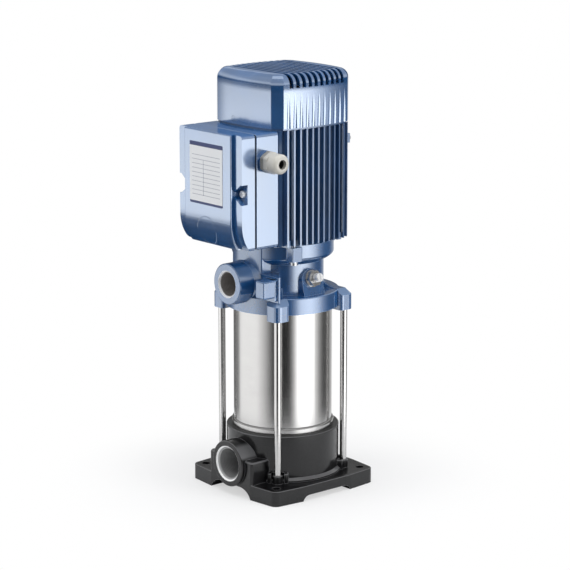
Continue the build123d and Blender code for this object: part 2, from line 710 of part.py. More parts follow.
def make_seal_cover():
    """The disc that closes the wet chamber under the lantern."""
    disc = tube(LANTERN_R - SEAT_GAP, PUMP_SHAFT_R + 6, SEAL_LEDGE_Z, LANTERN_SEAL_Z)
    return disc + tube(LANTERN_R - SEAT_GAP, LANTERN_R - 4, LANTERN_SEAL_Z - 1, MOTOR_Z - SHIELD_FLANGE)


def make_seal_seat():
    """The stationary ring of the shaft seal, pressed into the cover."""
    seat_r = PUMP_SHAFT_R + 6 - 0.05
    return tube(seat_r, PUMP_SHAFT_R + MOVING_GAP, SEAL_LEDGE_Z - 4, LANTERN_SEAL_Z - 2)


def make_seal_head():
    """The turning half of the shaft seal, with its spring collar."""
    top = SEAL_LEDGE_Z - 4 - MOVING_GAP
    return [
        tube(PUMP_SHAFT_R + 5, PUMP_SHAFT_R, top - 4, top),
        tube(PUMP_SHAFT_R + 6.5, PUMP_SHAFT_R, top - 9, top - 4),
        tube(PUMP_SHAFT_R + 4, PUMP_SHAFT_R, top - 20, top - 9),
    ]


def make_coupling():
    """The clamped sleeve that joins the pump shaft to the motor shaft."""
    low = COUPLING_MID_Z - COUPLING_HALF
    high = COUPLING_MID_Z + COUPLING_HALF
    sleeve = tube(COUPLING_R, PUMP_SHAFT_R, low, COUPLING_MID_Z)
    sleeve += tube(COUPLING_R, MOTOR_SHAFT_R, COUPLING_MID_Z, high)
    sleeve = chamfer(sleeve.edges().group_by(Axis.Z)[-1].sort_by(SortBy.LENGTH)[-1], 1)
    for z in (low + 6, high - 6):
        sleeve -= Pos(COUPLING_R - 2.5, 0, z) * Rot(90, 0, 0) * Cylinder(2, 2 * COUPLING_R)
    return sleeve


def make_drive_shield():
    """The motor's lower end shield: spigot into the lantern, disc, bearing seat, four lugs."""
    shield = tube(LANTERN_R - SEAT_GAP, LANTERN_R - SHIELD_WALL, MOTOR_Z - SHIELD_FLANGE, MOTOR_Z)
    shield += tube(FRAME_CORE_R, BEARING_R - 3, MOTOR_Z, FRAME_FOOT_Z)
    bearing_top = LOWER_BEARING_Z + BEARING_WIDE
    shield += tube(FRAME_BORE_R - SEAT_GAP, BEARING_R - 3, FRAME_FOOT_Z, LOWER_BEARING_Z)
    shield += tube(FRAME_BORE_R - SEAT_GAP, FRAME_BORE_R - SHIELD_WALL, LOWER_BEARING_Z, bearing_top)
    shield += tube(BEARING_R + SHIELD_WALL, BEARING_R, LOWER_BEARING_Z, bearing_top)
    for x, y in four_corners(TIE_X, TIE_Y):
        shield += make_tie_lug(x, y, MOTOR_Z, FRAME_FOOT_Z, TIE_LUG_HIGH)
    shield -= tie_bolt_holes(TIE_R, MOTOR_Z - 1, MOTOR_Z + TIE_LUG_HIGH + 2)
    return shield - ear_bolt_holes(EAR_BOLT_R)


def make_tie_lug(x, y, low, bridge_top, high):
    """A lug for one tie bolt, joined to the disc below the frame by a bridge."""
    side = 1 if x > 0 else -1
    lug = Pos(x, y, low + high / 2) * Box(2 * TIE_LUG_HALF, 2 * TIE_LUG_HALF, high)
    lug = fillet(lug.edges().filter_by(Axis.Z), 1)
    near, far = sorted((x, x - side * 25))
    bridge = block(near, far, y - TIE_LUG_HALF, y + TIE_LUG_HALF, low, bridge_top)
    return lug + bridge


def tie_bolt_holes(radius, low, high):
    """Cutters for the four tie bolts."""
    hole = Pos(0, 0, (low + high) / 2) * Cylinder(radius, high - low)
    return Compound([Pos(x, y, 0) * hole for x, y in four_corners(TIE_X, TIE_Y)])


def ear_bolt_holes(radius):
    """Cutters for the two flange bolts."""
    return Compound([Pos(*ear_bolt_place(side), MOTOR_Z) * Cylinder(radius, 30) for side in (1, -1)])


def make_tie_bolts():
    """Four long bolts that clamp the end shields to the frame."""
    bolts = []
    for x, y in four_corners(TIE_X, TIE_Y):
        head_z = FRAME_TOP_Z + SHIELD_FLANGE
        bolt = Pos(x, y, (MOTOR_Z + 1 + head_z) / 2) * Cylinder(TIE_R, head_z - MOTOR_Z - 1)
        bolts.append(bolt + Pos(x, y, head_z) * hex_prism(TIE_HEAD_FLATS, TIE_HEAD_HIGH))
    return bolts


def make_motor_housing():
    """The finned frame: thick core, thirteen parallel fins to each side, pads for box and screw."""
    high = FRAME_TOP_Z - FRAME_FOOT_Z
    outline = Pos(0, 0, FRAME_FOOT_Z) * extrude(bulged_outline(0), high)
    core = tube(FRAME_CORE_R, 0, FRAME_FOOT_Z, FRAME_TOP_Z)
    wide = 2 * FRAME_CORE_HALF
    square = Pos(0, 0, (FRAME_FOOT_Z + FRAME_TOP_Z) / 2) * Box(wide, wide, high)
    core += fillet(square.edges().filter_by(Axis.Z), 6)
    reach = FRAME_HALF + FRAME_BULGE + 5
    fins = []
    for k in range(-FINS_EACH_WAY, FINS_EACH_WAY + 1):
        at = k * FIN_PITCH
        low, up = at - FIN_THICK / 2, at + FIN_THICK / 2
        inner = FRAME_BORE_R - 8
        for side in (1, -1):
            near, far = sorted((side * inner, side * reach))
            fins.append(block(near, far, low, up, FRAME_FOOT_Z, FRAME_TOP_Z))
            fins.append(block(low, up, near, far, FRAME_FOOT_Z, FRAME_TOP_Z))
    finned = (core + fins) & outline
    if isinstance(finned, ShapeList):
        finned = Compound(finned)
    finned -= block(-reach, reach, -reach, BOX_BACK_Y + SEAT_GAP, FRAME_FOOT_Z, FRAME_TOP_Z)
    pad_back = BOX_BACK_Y + SEAT_GAP
    pad = block(-BOX_PAD_HALF, BOX_PAD_HALF, pad_back, -FRAME_CORE_HALF, BOX_Z + 12, BOX_TOP_Z - 12)
    finned += pad
    finned += block(EARTH_X - 5, EARTH_X + 5, FRAME_CORE_HALF - 4, EARTH_Y, EARTH_Z - 6, EARTH_Z + 6)
    finned -= tube(FRAME_BORE_R, 0, FRAME_FOOT_Z - 1, FRAME_TOP_Z + 1)
    for x, y in four_corners(TIE_X, TIE_Y):
        finned -= Pos(x, y, FRAME_FOOT_Z) * Box(
            2 * TIE_LUG_HALF + 0.6, 2 * TIE_LUG_HALF + 0.6, 2 * (TIE_LUG_HIGH - FRAME_FOOT_GAP + 0.3))
    finned -= tie_bolt_holes(TIE_R + 0.3, FRAME_FOOT_Z - 1, FRAME_TOP_Z + 1)
    finned -= ear_bolt_holes(EAR_BOLT_R + 0.3)
    return finned - Pos(EARTH_X, EARTH_Y - 6, EARTH_Z) * Rot(90, 0, 0) * Cylinder(EARTH_R, 20)


def make_top_shield():
    """The motor's upper end shield, set inside the skirt of the fan cover."""
    plate = bulged_outline(COVER_WALL + SEAT_GAP)
    shield = Pos(0, 0, FRAME_TOP_Z) * extrude(plate, SHIELD_FLANGE)
    low = FRAME_TOP_Z - SHIELD_SPIGOT
    shield += tube(FRAME_BORE_R - SEAT_GAP, 0, low, FRAME_TOP_Z)
    shield -= tube(BEARING_R, 0, low - 1, UPPER_BEARING_Z + BEARING_WIDE)
    shield -= tube(MOTOR_SHAFT_R + 2, 0, low - 1, FRAME_TOP_Z + SHIELD_FLANGE + 1)
    shield -= tube(FRAME_BORE_R - SHIELD_WALL, BEARING_R + SHIELD_WALL, low - 1, FRAME_TOP_Z)
    shield -= tie_bolt_holes(TIE_R, FRAME_TOP_Z - 1, FRAME_TOP_Z + SHIELD_FLANGE + 1)
    for x, y, turn in cover_screw_places():
        shield -= Pos(x, y, COVER_SCREW_Z) * Rot(0, 0, turn) * Rot(0, 90, 0) * Cylinder(COVER_SCREW_R, 24)
    return shield


def make_bearing(r_in, r_out):
    """One set of rings, for both bearings, on the motor shaft."""
    return [tube(r_out, r_in, z, z + BEARING_WIDE) for z in (LOWER_BEARING_Z, UPPER_BEARING_Z)]


def make_stator_core():
    """The stack of iron sheets with its winding slots."""
    core = tube(STATOR_R, STATOR_BORE_R, STATOR_Z, STATOR_Z + STATOR_LONG)
    slot = Pos(STATOR_BORE_R + 6, 0, STATOR_Z + STATOR_LONG / 2) * Box(9, 4.5, STATOR_LONG + 2)
    for one in around(STATOR_SLOTS, slot):
        core -= one
    return core


def make_windings():
    """The copper: bars in the slots and a rounded ring at each end."""
    top = STATOR_Z + STATOR_LONG
    r_out = STATOR_R - 6
    r_in = STATOR_BORE_R + 2
    copper = tube(r_out, r_in, STATOR_Z - WINDING_LONG, STATOR_Z)
    copper += tube(r_out, r_in, top, top + WINDING_LONG)
    copper = fillet(copper.edges().group_by(Axis.Z)[0] + copper.edges().group_by(Axis.Z)[-1], 3)
    bar = Pos(STATOR_BORE_R + 6, 0, STATOR_Z + STATOR_LONG / 2) * Box(8.6, 4.1, STATOR_LONG)
    for one in around(STATOR_SLOTS, bar):
        copper += one
    return copper


def make_motor_shaft():
    """The motor shaft, from the coupling up to the fan."""
    shaft = tube(MOTOR_SHAFT_R, 0, COUPLING_MID_Z + 0.5, FAN_Z + FAN_HIGH + 4)
    return chamfer(shaft.edges(), 1)


def make_fan():
    """The cooling fan: hub, dished disc and upright blades."""
    fan = tube(FAN_HUB_R, MOTOR_SHAFT_R, FAN_Z, FAN_Z + FAN_HIGH)
    fan += tube(FAN_R, FAN_HUB_R - 1, FAN_Z, FAN_Z + 2)
    long = FAN_R - FAN_HUB_R + 1
    blade = Pos(FAN_HUB_R - 1 + long / 2, 0, FAN_Z + FAN_HIGH / 2) * Box(long, 2, FAN_HIGH)
    blade = chamfer(blade.edges().filter_by(Axis.Y).group_by(Axis.X)[-1].sort_by(Axis.Z)[-1:], 8)
    for one in around(FAN_BLADES, blade):
        fan += one
    return fan


def make_fan_cover():
    """The slotted cap over the fan: slots over both top edges, flutes below them, a finger scoop."""
    high = COVER_TOP_Z - COVER_Z
    outer = extrude(bulged_outline(0), high)
    outer = fillet(outer.faces().sort_by(Axis.Z)[-1].edges(), COVER_EDGE_R)
    inner = extrude(bulged_outline(COVER_WALL), high - COVER_WALL)
    inner = fillet(inner.faces().sort_by(Axis.Z)[-1].edges(), COVER_EDGE_R - COVER_WALL)
    cover = Pos(0, 0, COVER_Z) * (outer - inner)
    reach = FRAME_HALF + FRAME_BULGE + 5
    low = COVER_TOP_Z - SLOT_DROP
    for k in range(SLOTS):
        y = (k - (SLOTS - 1) / 2) * FIN_PITCH
        slot = block(-reach, reach, y - SLOT_WIDE / 2, y + SLOT_WIDE / 2, low, COVER_TOP_Z + 5)
        cover -= slot
    for side in (1, -1):
        for k in range(-FINS_EACH_WAY + 1, FINS_EACH_WAY):
            y = k * FIN_PITCH
            x = side * (side_reach(y) + FLUTE_R - FLUTE_DEEP)
            flute = Cylinder(FLUTE_R, 2 * (FLUTE_TOP_Z - COVER_Z))
            cover -= Pos(x, y, COVER_Z) * Rot(0, side * FLUTE_LEAN, 0) * flute
    edge_y = side_reach(SCOOP_X) - COVER_EDGE_R
    out = COVER_EDGE_R + SCOOP_R - SCOOP_DEEP
    cover -= Pos(SCOOP_X, -edge_y - out / 2, COVER_TOP_Z - COVER_EDGE_R + out * sqrt(3) / 2) * Sphere(SCOOP_R)
    for x, y, turn in cover_screw_places():
        place = Pos(x, y, COVER_SCREW_Z) * Rot(0, 0, turn)
        cover -= place * Rot(0, 90, 0) * Cylinder(COVER_SCREW_R + SEAT_GAP, 12)
        cover -= place * Pos(5 - COVER_DIMPLE, 0, 0) * Rot(0, 90, 0) * Cylinder(COVER_SCREW_R * 2.3, 10)
    return cover


def side_reach(along):
    """How far a bowed side stands from the middle plane, at a place along the side."""
    arc_r = (FRAME_HALF ** 2 + FRAME_BULGE ** 2) / (2 * FRAME_BULGE)
    return FRAME_HALF + FRAME_BULGE - arc_r + sqrt(arc_r ** 2 - along ** 2)


def cover_screw_places():
    """Centre and direction of the four screws through the cover's skirt."""
    out = side_reach(COVER_SCREW_ALONG)
    return [
        (-COVER_SCREW_ALONG, -out, -90),
        (COVER_SCREW_ALONG, out, 90),
    ]


def make_cover_screws():
    """The screws that hold the fan cover to the end shield."""
    screws = []
    for x, y, turn in cover_screw_places():
        screw = Pos(x, y, COVER_SCREW_Z) * Rot(0, 0, turn)
        shank = Pos(-COVER_DIMPLE - 4.5, 0, 0) * Rot(0, 90, 0) * Cylinder(COVER_SCREW_R, 10)
        head = Pos(0.6 - COVER_DIMPLE, 0, 0) * Rot(0, 90, 0) * Cylinder(COVER_SCREW_R * 1.9, 1)
        screws.append(screw * (shank + head))
    return screws


def box_slab(y_low, y_high, half):
    """A plain piece of the terminal box between two planes across Y."""
    return block(-half, half, y_low, y_high, BOX_Z, BOX_TOP_Z)


def lid_body(front_y, half, inset):
    """The lid's outer form: its lower front rolls back towards the motor."""
    centre_y = LID_Y + LID_BEND_R
    bend_r = centre_y - front_y
    low, high = BOX_Z + inset, BOX_TOP_Z - inset
    foot_y = centre_y - sqrt(bend_r ** 2 - (LID_BEND_Z - low) ** 2)
    turn = asin((LID_BEND_Z - low) / bend_r) / 2
    seam = BOX_SEAM_Y - GASKET / 2
    outline = [
        Line((seam, low), (seam, high)),
        Line((seam, high), (front_y, high)),
        Line((front_y, high), (front_y, LID_BEND_Z)),
        ThreePointArc((front_y, LID_BEND_Z),
                      (centre_y - bend_r * cos(turn), LID_BEND_Z - bend_r * sin(turn)), (foot_y, low)),
        Line((foot_y, low), (seam, low)),
    ]
    return extrude(Plane.YZ * make_face(outline), half, both=True)


def make_lid():
    """The terminal box lid: side strips, raised front panel, two screw notches."""
    shell = lid_body(LID_Y, BOX_HALF, 0)
    shell = fillet(shell.edges().filter_by(Axis.Y), BOX_CORNER_R)
    shell = fillet(shell.faces().sort_by(Axis.Y)[-1].edges(), BOX_EDGE_R)
    panel = lid_body(PANEL_Y, PANEL_HALF, 0)
    front = [e for e in panel.edges() if e.center().Y < LID_Y]
    panel = fillet([e for e in front if abs(e.center().X) > 1 or e.center().Z > BOX_TOP_Z - 1], PANEL_EDGE_R)
    shell += panel
    hollow = lid_body(LID_Y + BOX_WALL, BOX_HALF - BOX_WALL, BOX_WALL)
    hollow = fillet(hollow.edges().filter_by(Axis.Y), BOX_CORNER_R - 1)
    lid = shell - hollow
    for side in (1, -1):
        points = [(side * x, z) for x, z in notch_outline(0)]
        outside = Plane(origin=(0, LID_Y - 1, 0), x_dir=(1, 0, 0), z_dir=(0, -1, 0))
        wall_points = [(side * x, z) for x, z in notch_outline(-BOX_WALL)]
        wall_face = make_face(Polyline(*wall_points, close=True))
        walls = extrude(outside.offset(-1.5) * wall_face, -(NOTCH_DEEP + BOX_WALL - 1))
        lid += walls & (shell + panel)
        lid -= extrude(outside * make_face(Polyline(*points, close=True)), -(NOTCH_DEEP + 1))
        lid -= Pos(side * SCREW_X, LID_Y + NOTCH_DEEP, NOTCH_Z) * Rot(90, 0, 0) * Cylinder(SCREW_R + 0.2, 16)
    return lid


def notch_outline(inset):
    """Corners of a screw notch, on the +X side, seen from the front."""
    near = PANEL_HALF + 0.5 + inset
    out = BOX_HALF + 1
    half = NOTCH_HIGH / 2 - inset
    return [
        (near, NOTCH_Z - 3.5 + inset), (near, NOTCH_Z + 2.5 - inset), (BOX_HALF - 3, NOTCH_Z + half),
        (out, NOTCH_Z + half), (out, NOTCH_Z - half), (BOX_HALF - 3, NOTCH_Z - half),
    ]


def make_box_base():
    """The open box on the motor's side, with bosses for the lid screws and the gland."""
    front = BOX_SEAM_Y + GASKET / 2
    outer = box_slab(front, BOX_BACK_Y, BOX_HALF)
    outer = fillet(outer.edges().filter_by(Axis.Y), BOX_CORNER_R)
    outer = fillet(outer.faces().sort_by(Axis.Y)[0].edges(), BOX_EDGE_R)
    inner = block(-BOX_HALF + BOX_WALL, BOX_HALF - BOX_WALL, front - 1, BOX_BACK_Y - BOX_WALL,
                  BOX_Z + BOX_WALL, BOX_TOP_Z - BOX_WALL)
    inner = fillet(inner.edges().filter_by(Axis.Y), BOX_CORNER_R - 1)
    base = outer - inner
    base += rod_between((BOX_HALF - 1, GLAND_Y, GLAND_Z), (1, 0, 0), GLAND_FLANGE_R, 1 + GLAND_BOSS_HIGH)
    base -= rod_between((BOX_HALF - 6, GLAND_Y, GLAND_Z), (1, 0, 0), GLAND_THREAD_R, 20)
    for side in (1, -1):
        base += block(*sorted((side * (SCREW_X - 5), side * (BOX_HALF - 1))), front, BOX_BACK_Y - 1,
                      NOTCH_Z - 5, NOTCH_Z + 5)
        base -= Pos(side * SCREW_X, front, NOTCH_Z) * Rot(90, 0, 0) * Cylinder(SCREW_R, 30)
    return base


def make_lid_screws():
    """The two screws in the notches, from the lid into the base."""
    screws = []
    seat_y = LID_Y + NOTCH_DEEP
    for side in (1, -1):
        head = rod_between((side * SCREW_X, seat_y, NOTCH_Z), (0, -1, 0), SCREW_HEAD_R, 3.2)
        head = fillet(head.edges().group_by(Axis.Y)[0], 1)
        shank_end = BOX_SEAM_Y + 14
        shank = rod_between((side * SCREW_X, seat_y, NOTCH_Z), (0, 1, 0), SCREW_R, shank_end - seat_y)
        cross = block(-0.5, 0.5, seat_y - 4, seat_y - 1.8, -3, 3)
        cross += block(-3, 3, seat_y - 4, seat_y - 1.8, -0.5, 0.5)
        screws.append(head + shank - Pos(side * SCREW_X, 0, NOTCH_Z) * cross)
    return screws


def make_gasket():
    """The flat seal in the box's seam, with eyes for the lid screws."""
    low, high = BOX_SEAM_Y - GASKET / 2, BOX_SEAM_Y + GASKET / 2
    half = BOX_HALF - GASKET_INSET
    outer = block(-half, half, low, high, BOX_Z + GASKET_INSET, BOX_TOP_Z - GASKET_INSET)
    outer = fillet(outer.edges().filter_by(Axis.Y), BOX_CORNER_R - GASKET_INSET)
    wall = BOX_HALF - BOX_WALL
    return outer - block(-wall, wall, low - 1, high + 1, BOX_Z + BOX_WALL, BOX_TOP_Z - BOX_WALL)


def make_terminal_board():
    """The moulded board for the leads."""
    back = BOX_BACK_Y - BOX_WALL - SEAT_GAP
    board = block(-BOARD_HALF, BOARD_HALF, back - 8, back, BOARD_Z - 14, BOARD_Z + 14)
    board = fillet(board.edges().filter_by(Axis.Y), 3)
    for x in stud_places():
        board -= rod_between((x, back + 1, BOARD_Z), (0, -1, 0), STUD_R, 12)
    return board


def stud_places():
    """Where the terminal studs stand along the board."""
    return [(k - 1.5) * STUD_PITCH for k in range(4)]


def make_studs():
    """The brass studs with their nuts."""
    back = BOX_BACK_Y - BOX_WALL - SEAT_GAP
    studs = []
    for x in stud_places():
        stud = rod_between((x, back, BOARD_Z), (0, -1, 0), STUD_R, 18)
        nut = Plane(origin=(x, back - 8, BOARD_Z), z_dir=(0, -1, 0)) * hex_prism(8, 4)
        studs.append(stud + nut)
    return studs


def make_capacitor():
    """The run capacitor that lies along the bottom of the box."""
    back = BOX_BACK_Y - BOX_WALL - SEAT_GAP
    can = rod_between((-CAP_LONG / 2, back - CAP_R, CAP_Z), (1, 0, 0), CAP_R, CAP_LONG)
    return fillet(can.edges(), 2)


def gland_hexagon(x, long):
    """A hexagon bar along the gland's axis with its corners turned off."""
    plane = Plane(origin=(x, GLAND_Y, GLAND_Z), z_dir=(1, 0, 0))
    bar = (plane * hex_prism(GLAND_FLATS, long)) & extrude(plane * Circle(GLAND_HEX_R), long)
    return bar


def make_gland_body():
    """The gland's threaded stub and its hexagon collar against the box."""
    face = BOX_HALF + GLAND_BOSS_HIGH
    stub_long = face - BOX_HALF + BOX_WALL + 6
    stub = rod_between((face - stub_long, GLAND_Y, GLAND_Z), (1, 0, 0), GLAND_THREAD_R, stub_long)
    neck_long = GLAND_LONG - GLAND_BOSS_HIGH - GLAND_SEAL_IN - SEAT_GAP
    neck = rod_between((face, GLAND_Y, GLAND_Z), (1, 0, 0), GLAND_HOLE_R + GLAND_SEAL_WALL, neck_long)
    body = gland_hexagon(face, GLAND_SHOULDER) + stub + neck
    return body - rod_between((0, GLAND_Y, GLAND_Z), (1, 0, 0), GLAND_HOLE_R, 200)


def make_gland_nut():
    """The domed nut of the cable gland, with a hexagon at its root."""
    face = BOX_HALF + GLAND_BOSS_HIGH + GLAND_SHOULDER
    tip = BOX_HALF + GLAND_LONG
    dome = rod_between((face + 1, GLAND_Y, GLAND_Z), (1, 0, 0), GLAND_DOME_R, tip - face - 1)
    dome = fillet(dome.edges().group_by(Axis.X)[-1], GLAND_DOME_ROUND)
    nut = gland_hexagon(face, GLAND_HEX_LONG) + dome
    nut_bore = tip - GLAND_SEAL_IN + GLAND_SEAL_LONG
    nut -= rod_between((0, GLAND_Y, GLAND_Z), (1, 0, 0), GLAND_HOLE_R + GLAND_SEAL_WALL, nut_bore)
    return nut - rod_between((0, GLAND_Y, GLAND_Z), (1, 0, 0), GLAND_HOLE_R, 200)


def make_gland_seal():
    """The rubber ring that would grip a cable inside the nut."""
    start = BOX_HALF + GLAND_LONG - GLAND_SEAL_IN
    ring_r = GLAND_HOLE_R + GLAND_SEAL_WALL - SEAT_GAP
    ring = rod_between((start, GLAND_Y, GLAND_Z), (1, 0, 0), ring_r, GLAND_SEAL_LONG)
    return ring - rod_between((0, GLAND_Y, GLAND_Z), (1, 0, 0), GLAND_HOLE_R - 0.6, 200)


def make_earth_screw():
    """The small earthing screw on the frame."""
    head = rod_between((EARTH_X, EARTH_Y, EARTH_Z), (0, 1, 0), EARTH_R * 2, 3.5)
    head = fillet(head.edges().group_by(Axis.Y)[-1], 0.8)
    return head + rod_between((EARTH_X, EARTH_Y, EARTH_Z), (0, -1, 0), EARTH_R, 8)


save("base_casting", make_foot())
save("barrel_sleeve", make_barrel())
save("barrel_o_rings", *make_o_rings())
save("tie_rods", *make_tie_rods())
save("inlet_spider", make_inlet_spider())
save("lower_bush", tube(HUB_R, PUMP_SHAFT_R + RUNNING_FIT, BARREL_FOOT_Z, STAGE_Z - 4))
for stage in range(STAGES):
    save(f"stage_casing_{stage + 1}", make_stage_casing(stage))
    save(f"impeller_{stage + 1}", make_impeller(stage))
save("stack_clamp_ring", make_clamp_ring())
save("pump_shaft", make_pump_shaft())
save("shaft_spacers", *make_spacers())
save("impeller_nut", make_impeller_nut())
save("delivery_head", make_head())
save("seal_cover", make_seal_cover())
save("seal_seat", make_seal_seat())
save("seal_head", *make_seal_head())
save("coupling_sleeve", make_coupling())
save("flange_bolts", *make_flange_bolts())
save("priming_plug", make_priming_plug())
save("vent_screw", make_vent_screw())
save("drive_end_shield", make_drive_shield())
save("motor_housing", make_motor_housing())
save("stator_core", make_stator_core())
save("stator_windings", make_windings())
save("rotor_core", tube(STATOR_BORE_R - AIR_GAP, MOTOR_SHAFT_R, STATOR_Z, STATOR_Z + STATOR_LONG))
save("bearing_inner_races", *make_bearing(MOTOR_SHAFT_R, BEARING_SPLIT_R))
save("bearing_outer_races", *make_bearing(BEARING_SPLIT_R + RUNNING_FIT, BEARING_R))
save("motor_shaft", make_motor_shaft())
save("top_end_shield", make_top_shield())
save("motor_tie_bolts", *make_tie_bolts())
save("fan", make_fan())
save("fan_cover", make_fan_cover())
save("fan_cover_screws", *make_cover_screws())
save("terminal_box_base", make_box_base())
save("terminal_box_lid", make_lid())
save("lid_gasket", make_gasket())
save("lid_screws", *make_lid_screws())
save("terminal_board", make_terminal_board())
save("terminal_studs", *make_studs())
save("run_capacitor", make_capacitor())
save("gland_body", make_gland_body())
save("gland_nut", make_gland_nut())
save("gland_seal", make_gland_seal())
save("earth_screw", make_earth_screw())
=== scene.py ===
"""Vertical multistage pump: finishes, small pieces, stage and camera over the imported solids.

Metres, in the frame of the solids: +Z up the pump axis, pipe ports and terminal box towards -Y.
"""

from math import cos, pi, radians, sin

import bmesh
import bpy
from mathutils import Matrix, Vector


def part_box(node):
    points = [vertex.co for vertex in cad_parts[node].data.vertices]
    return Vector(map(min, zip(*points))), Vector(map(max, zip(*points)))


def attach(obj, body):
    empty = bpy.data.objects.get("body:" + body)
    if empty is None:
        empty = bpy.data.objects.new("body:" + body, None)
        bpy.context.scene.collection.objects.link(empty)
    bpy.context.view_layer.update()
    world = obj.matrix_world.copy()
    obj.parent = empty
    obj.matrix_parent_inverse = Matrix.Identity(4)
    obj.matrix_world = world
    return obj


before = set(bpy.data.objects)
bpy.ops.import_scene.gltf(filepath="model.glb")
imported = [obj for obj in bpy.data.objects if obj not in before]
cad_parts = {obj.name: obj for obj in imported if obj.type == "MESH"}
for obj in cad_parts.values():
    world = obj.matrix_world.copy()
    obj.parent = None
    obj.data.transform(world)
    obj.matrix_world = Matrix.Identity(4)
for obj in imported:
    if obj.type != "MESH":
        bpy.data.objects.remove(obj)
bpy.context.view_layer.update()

bl_info = {
    "name": "Multistage pump finisher",
    "version": (1, 0, 0),
    "blender": (4, 5, 0),
    "location": "View3D > Sidebar > Pump",
    "description": "Finishes, small pieces and studio for a vertical multistage pump",
    "category": "Object",
}

MM = 0.001
NEAR = 0.01 * MM
SAME = 0.0001 * MM
BODY = "pump_body"
FRONT = (0.0, -1.0, 0.0)

# The two pipe ports: height of each axis, and how deep their machining shows.
DELIVERY_Z = 277.0 * MM
SUCTION_Z = 40.5 * MM
RING_DEPTH = 6.0 * MM
THREAD_DEPTH = 24.0 * MM
BORE_DEPTH = 48.0 * MM
THREAD_PITCH = 2.309 * MM

# Painted highlights: the tones laid on edges and on bevels that face up and out.
EDGE_HIGHLIGHT_BLUE = (0.34, 0.47, 0.66)
EDGE_HIGHLIGHT_BLACK = (0.18, 0.18, 0.185)
RING_METAL = (0.95, 0.95, 0.94)


class PumpColours(bpy.types.PropertyGroup):
    """Base colours of the finishes that show."""

    enamel: bpy.props.FloatVectorProperty(
        name="Enamel", description="Blue enamel of the delivery head and the motor frame",
        subtype="COLOR", size=3, min=0.0, max=1.0, default=(0.008, 0.072, 0.215))
    moulding: bpy.props.FloatVectorProperty(
        name="Moulding", description="Blue of the fan cover and the terminal box",
        subtype="COLOR", size=3, min=0.0, max=1.0, default=(0.009, 0.085, 0.255))
    casting: bpy.props.FloatVectorProperty(
        name="Foot casting", description="Black coat of the foot casting",
        subtype="COLOR", size=3, min=0.0, max=1.0, default=(0.005, 0.005, 0.0055))
    steel: bpy.props.FloatVectorProperty(
        name="Stainless steel", description="Barrel and rods",
        subtype="COLOR", size=3, min=0.0, max=1.0, default=(0.50, 0.495, 0.49))
    gland: bpy.props.FloatVectorProperty(
        name="Gland", description="Grey plastic of the cable gland",
        subtype="COLOR", size=3, min=0.0, max=1.0, default=(0.50, 0.485, 0.44))
    plate_ink: bpy.props.FloatVectorProperty(
        name="Plate ink", description="Bars and ruled lines of the rating plate",
        subtype="COLOR", size=3, min=0.0, max=1.0, default=(0.006, 0.020, 0.110))


class PumpSizes(bpy.types.PropertyGroup):
    """Sizes of the pieces that are added to the solids."""

    plate_left: bpy.props.FloatProperty(
        name="Plate left", description="Left edge of the rating plate from the pump axis",
        default=-34.5 * MM, unit="LENGTH")
    plate_wide: bpy.props.FloatProperty(
        name="Plate width", description="Width of the rating plate", default=64.8 * MM, unit="LENGTH")
    plate_low: bpy.props.FloatProperty(
        name="Plate foot", description="Height of the plate's lower edge",
        default=382.5 * MM, unit="LENGTH")
    plate_high: bpy.props.FloatProperty(
        name="Plate height", description="Height of the rating plate", default=78.0 * MM, unit="LENGTH")
    plate_thick: bpy.props.FloatProperty(
        name="Plate thickness", description="Thickness of the rating plate",
        default=0.4 * MM, unit="LENGTH")
    pad_reach: bpy.props.FloatProperty(
        name="Pad reach", description="How far the pad beside the upper port stands from the pump axis",
        default=82.0 * MM, unit="LENGTH")
    tower_reach: bpy.props.FloatProperty(
        name="Tower reach", description="Radius of the wall that carries the upper port",
        default=66.2 * MM, unit="LENGTH")
    tower_half: bpy.props.FloatProperty(
        name="Tower half width", description="Half the width of the wall that carries the upper port",
        default=29.5 * MM, unit="LENGTH")
    lug_top: bpy.props.FloatProperty(
        name="Lug top", description="Height of the lugs over the tie rods",
        default=261.0 * MM, unit="LENGTH")
    floor_radius: bpy.props.FloatProperty(
        name="Floor radius", description="Radius of the pale floor", default=0.36, unit="LENGTH")


class Wire:
    """One output socket. Sums on it add their Math nodes to the same tree."""

    def __init__(self, nodes, socket):
        self.nodes = nodes
        self.socket = socket

    def maths(self, operation, *others):
        """A Math node on this wire and the other values, numbers or wires."""
        return self.nodes.maths(operation, self, *others)

    def __add__(self, other):
        return self.maths("ADD", other)

    def __radd__(self, other):
        return self.maths("ADD", other)

    def __sub__(self, other):
        return self.maths("SUBTRACT", other)

    def __rsub__(self, other):
        return self.nodes.maths("SUBTRACT", other, self)

    def __mul__(self, other):
        return self.maths("MULTIPLY", other)

    def __rmul__(self, other):
        return self.maths("MULTIPLY", other)

    def __truediv__(self, other):
        return self.maths("DIVIDE", other)

    def __gt__(self, other):
        return self.maths("GREATER_THAN", other)

    def __lt__(self, other):
        return self.maths("LESS_THAN", other)

    def ramp(self, low, high):
        """0 below low, 1 above high and smooth between."""
        return self.nodes.add(
            "ShaderNodeMapRange", {"interpolation_type": "SMOOTHSTEP"},
            {"Value": self, "From Min": low, "From Max": high})

    def band(self, low, high, soft):
        """1 between low and high, with soft edges that reach outwards."""
        return self.ramp(low - soft, low) * (1.0 - self.ramp(high, high + soft))


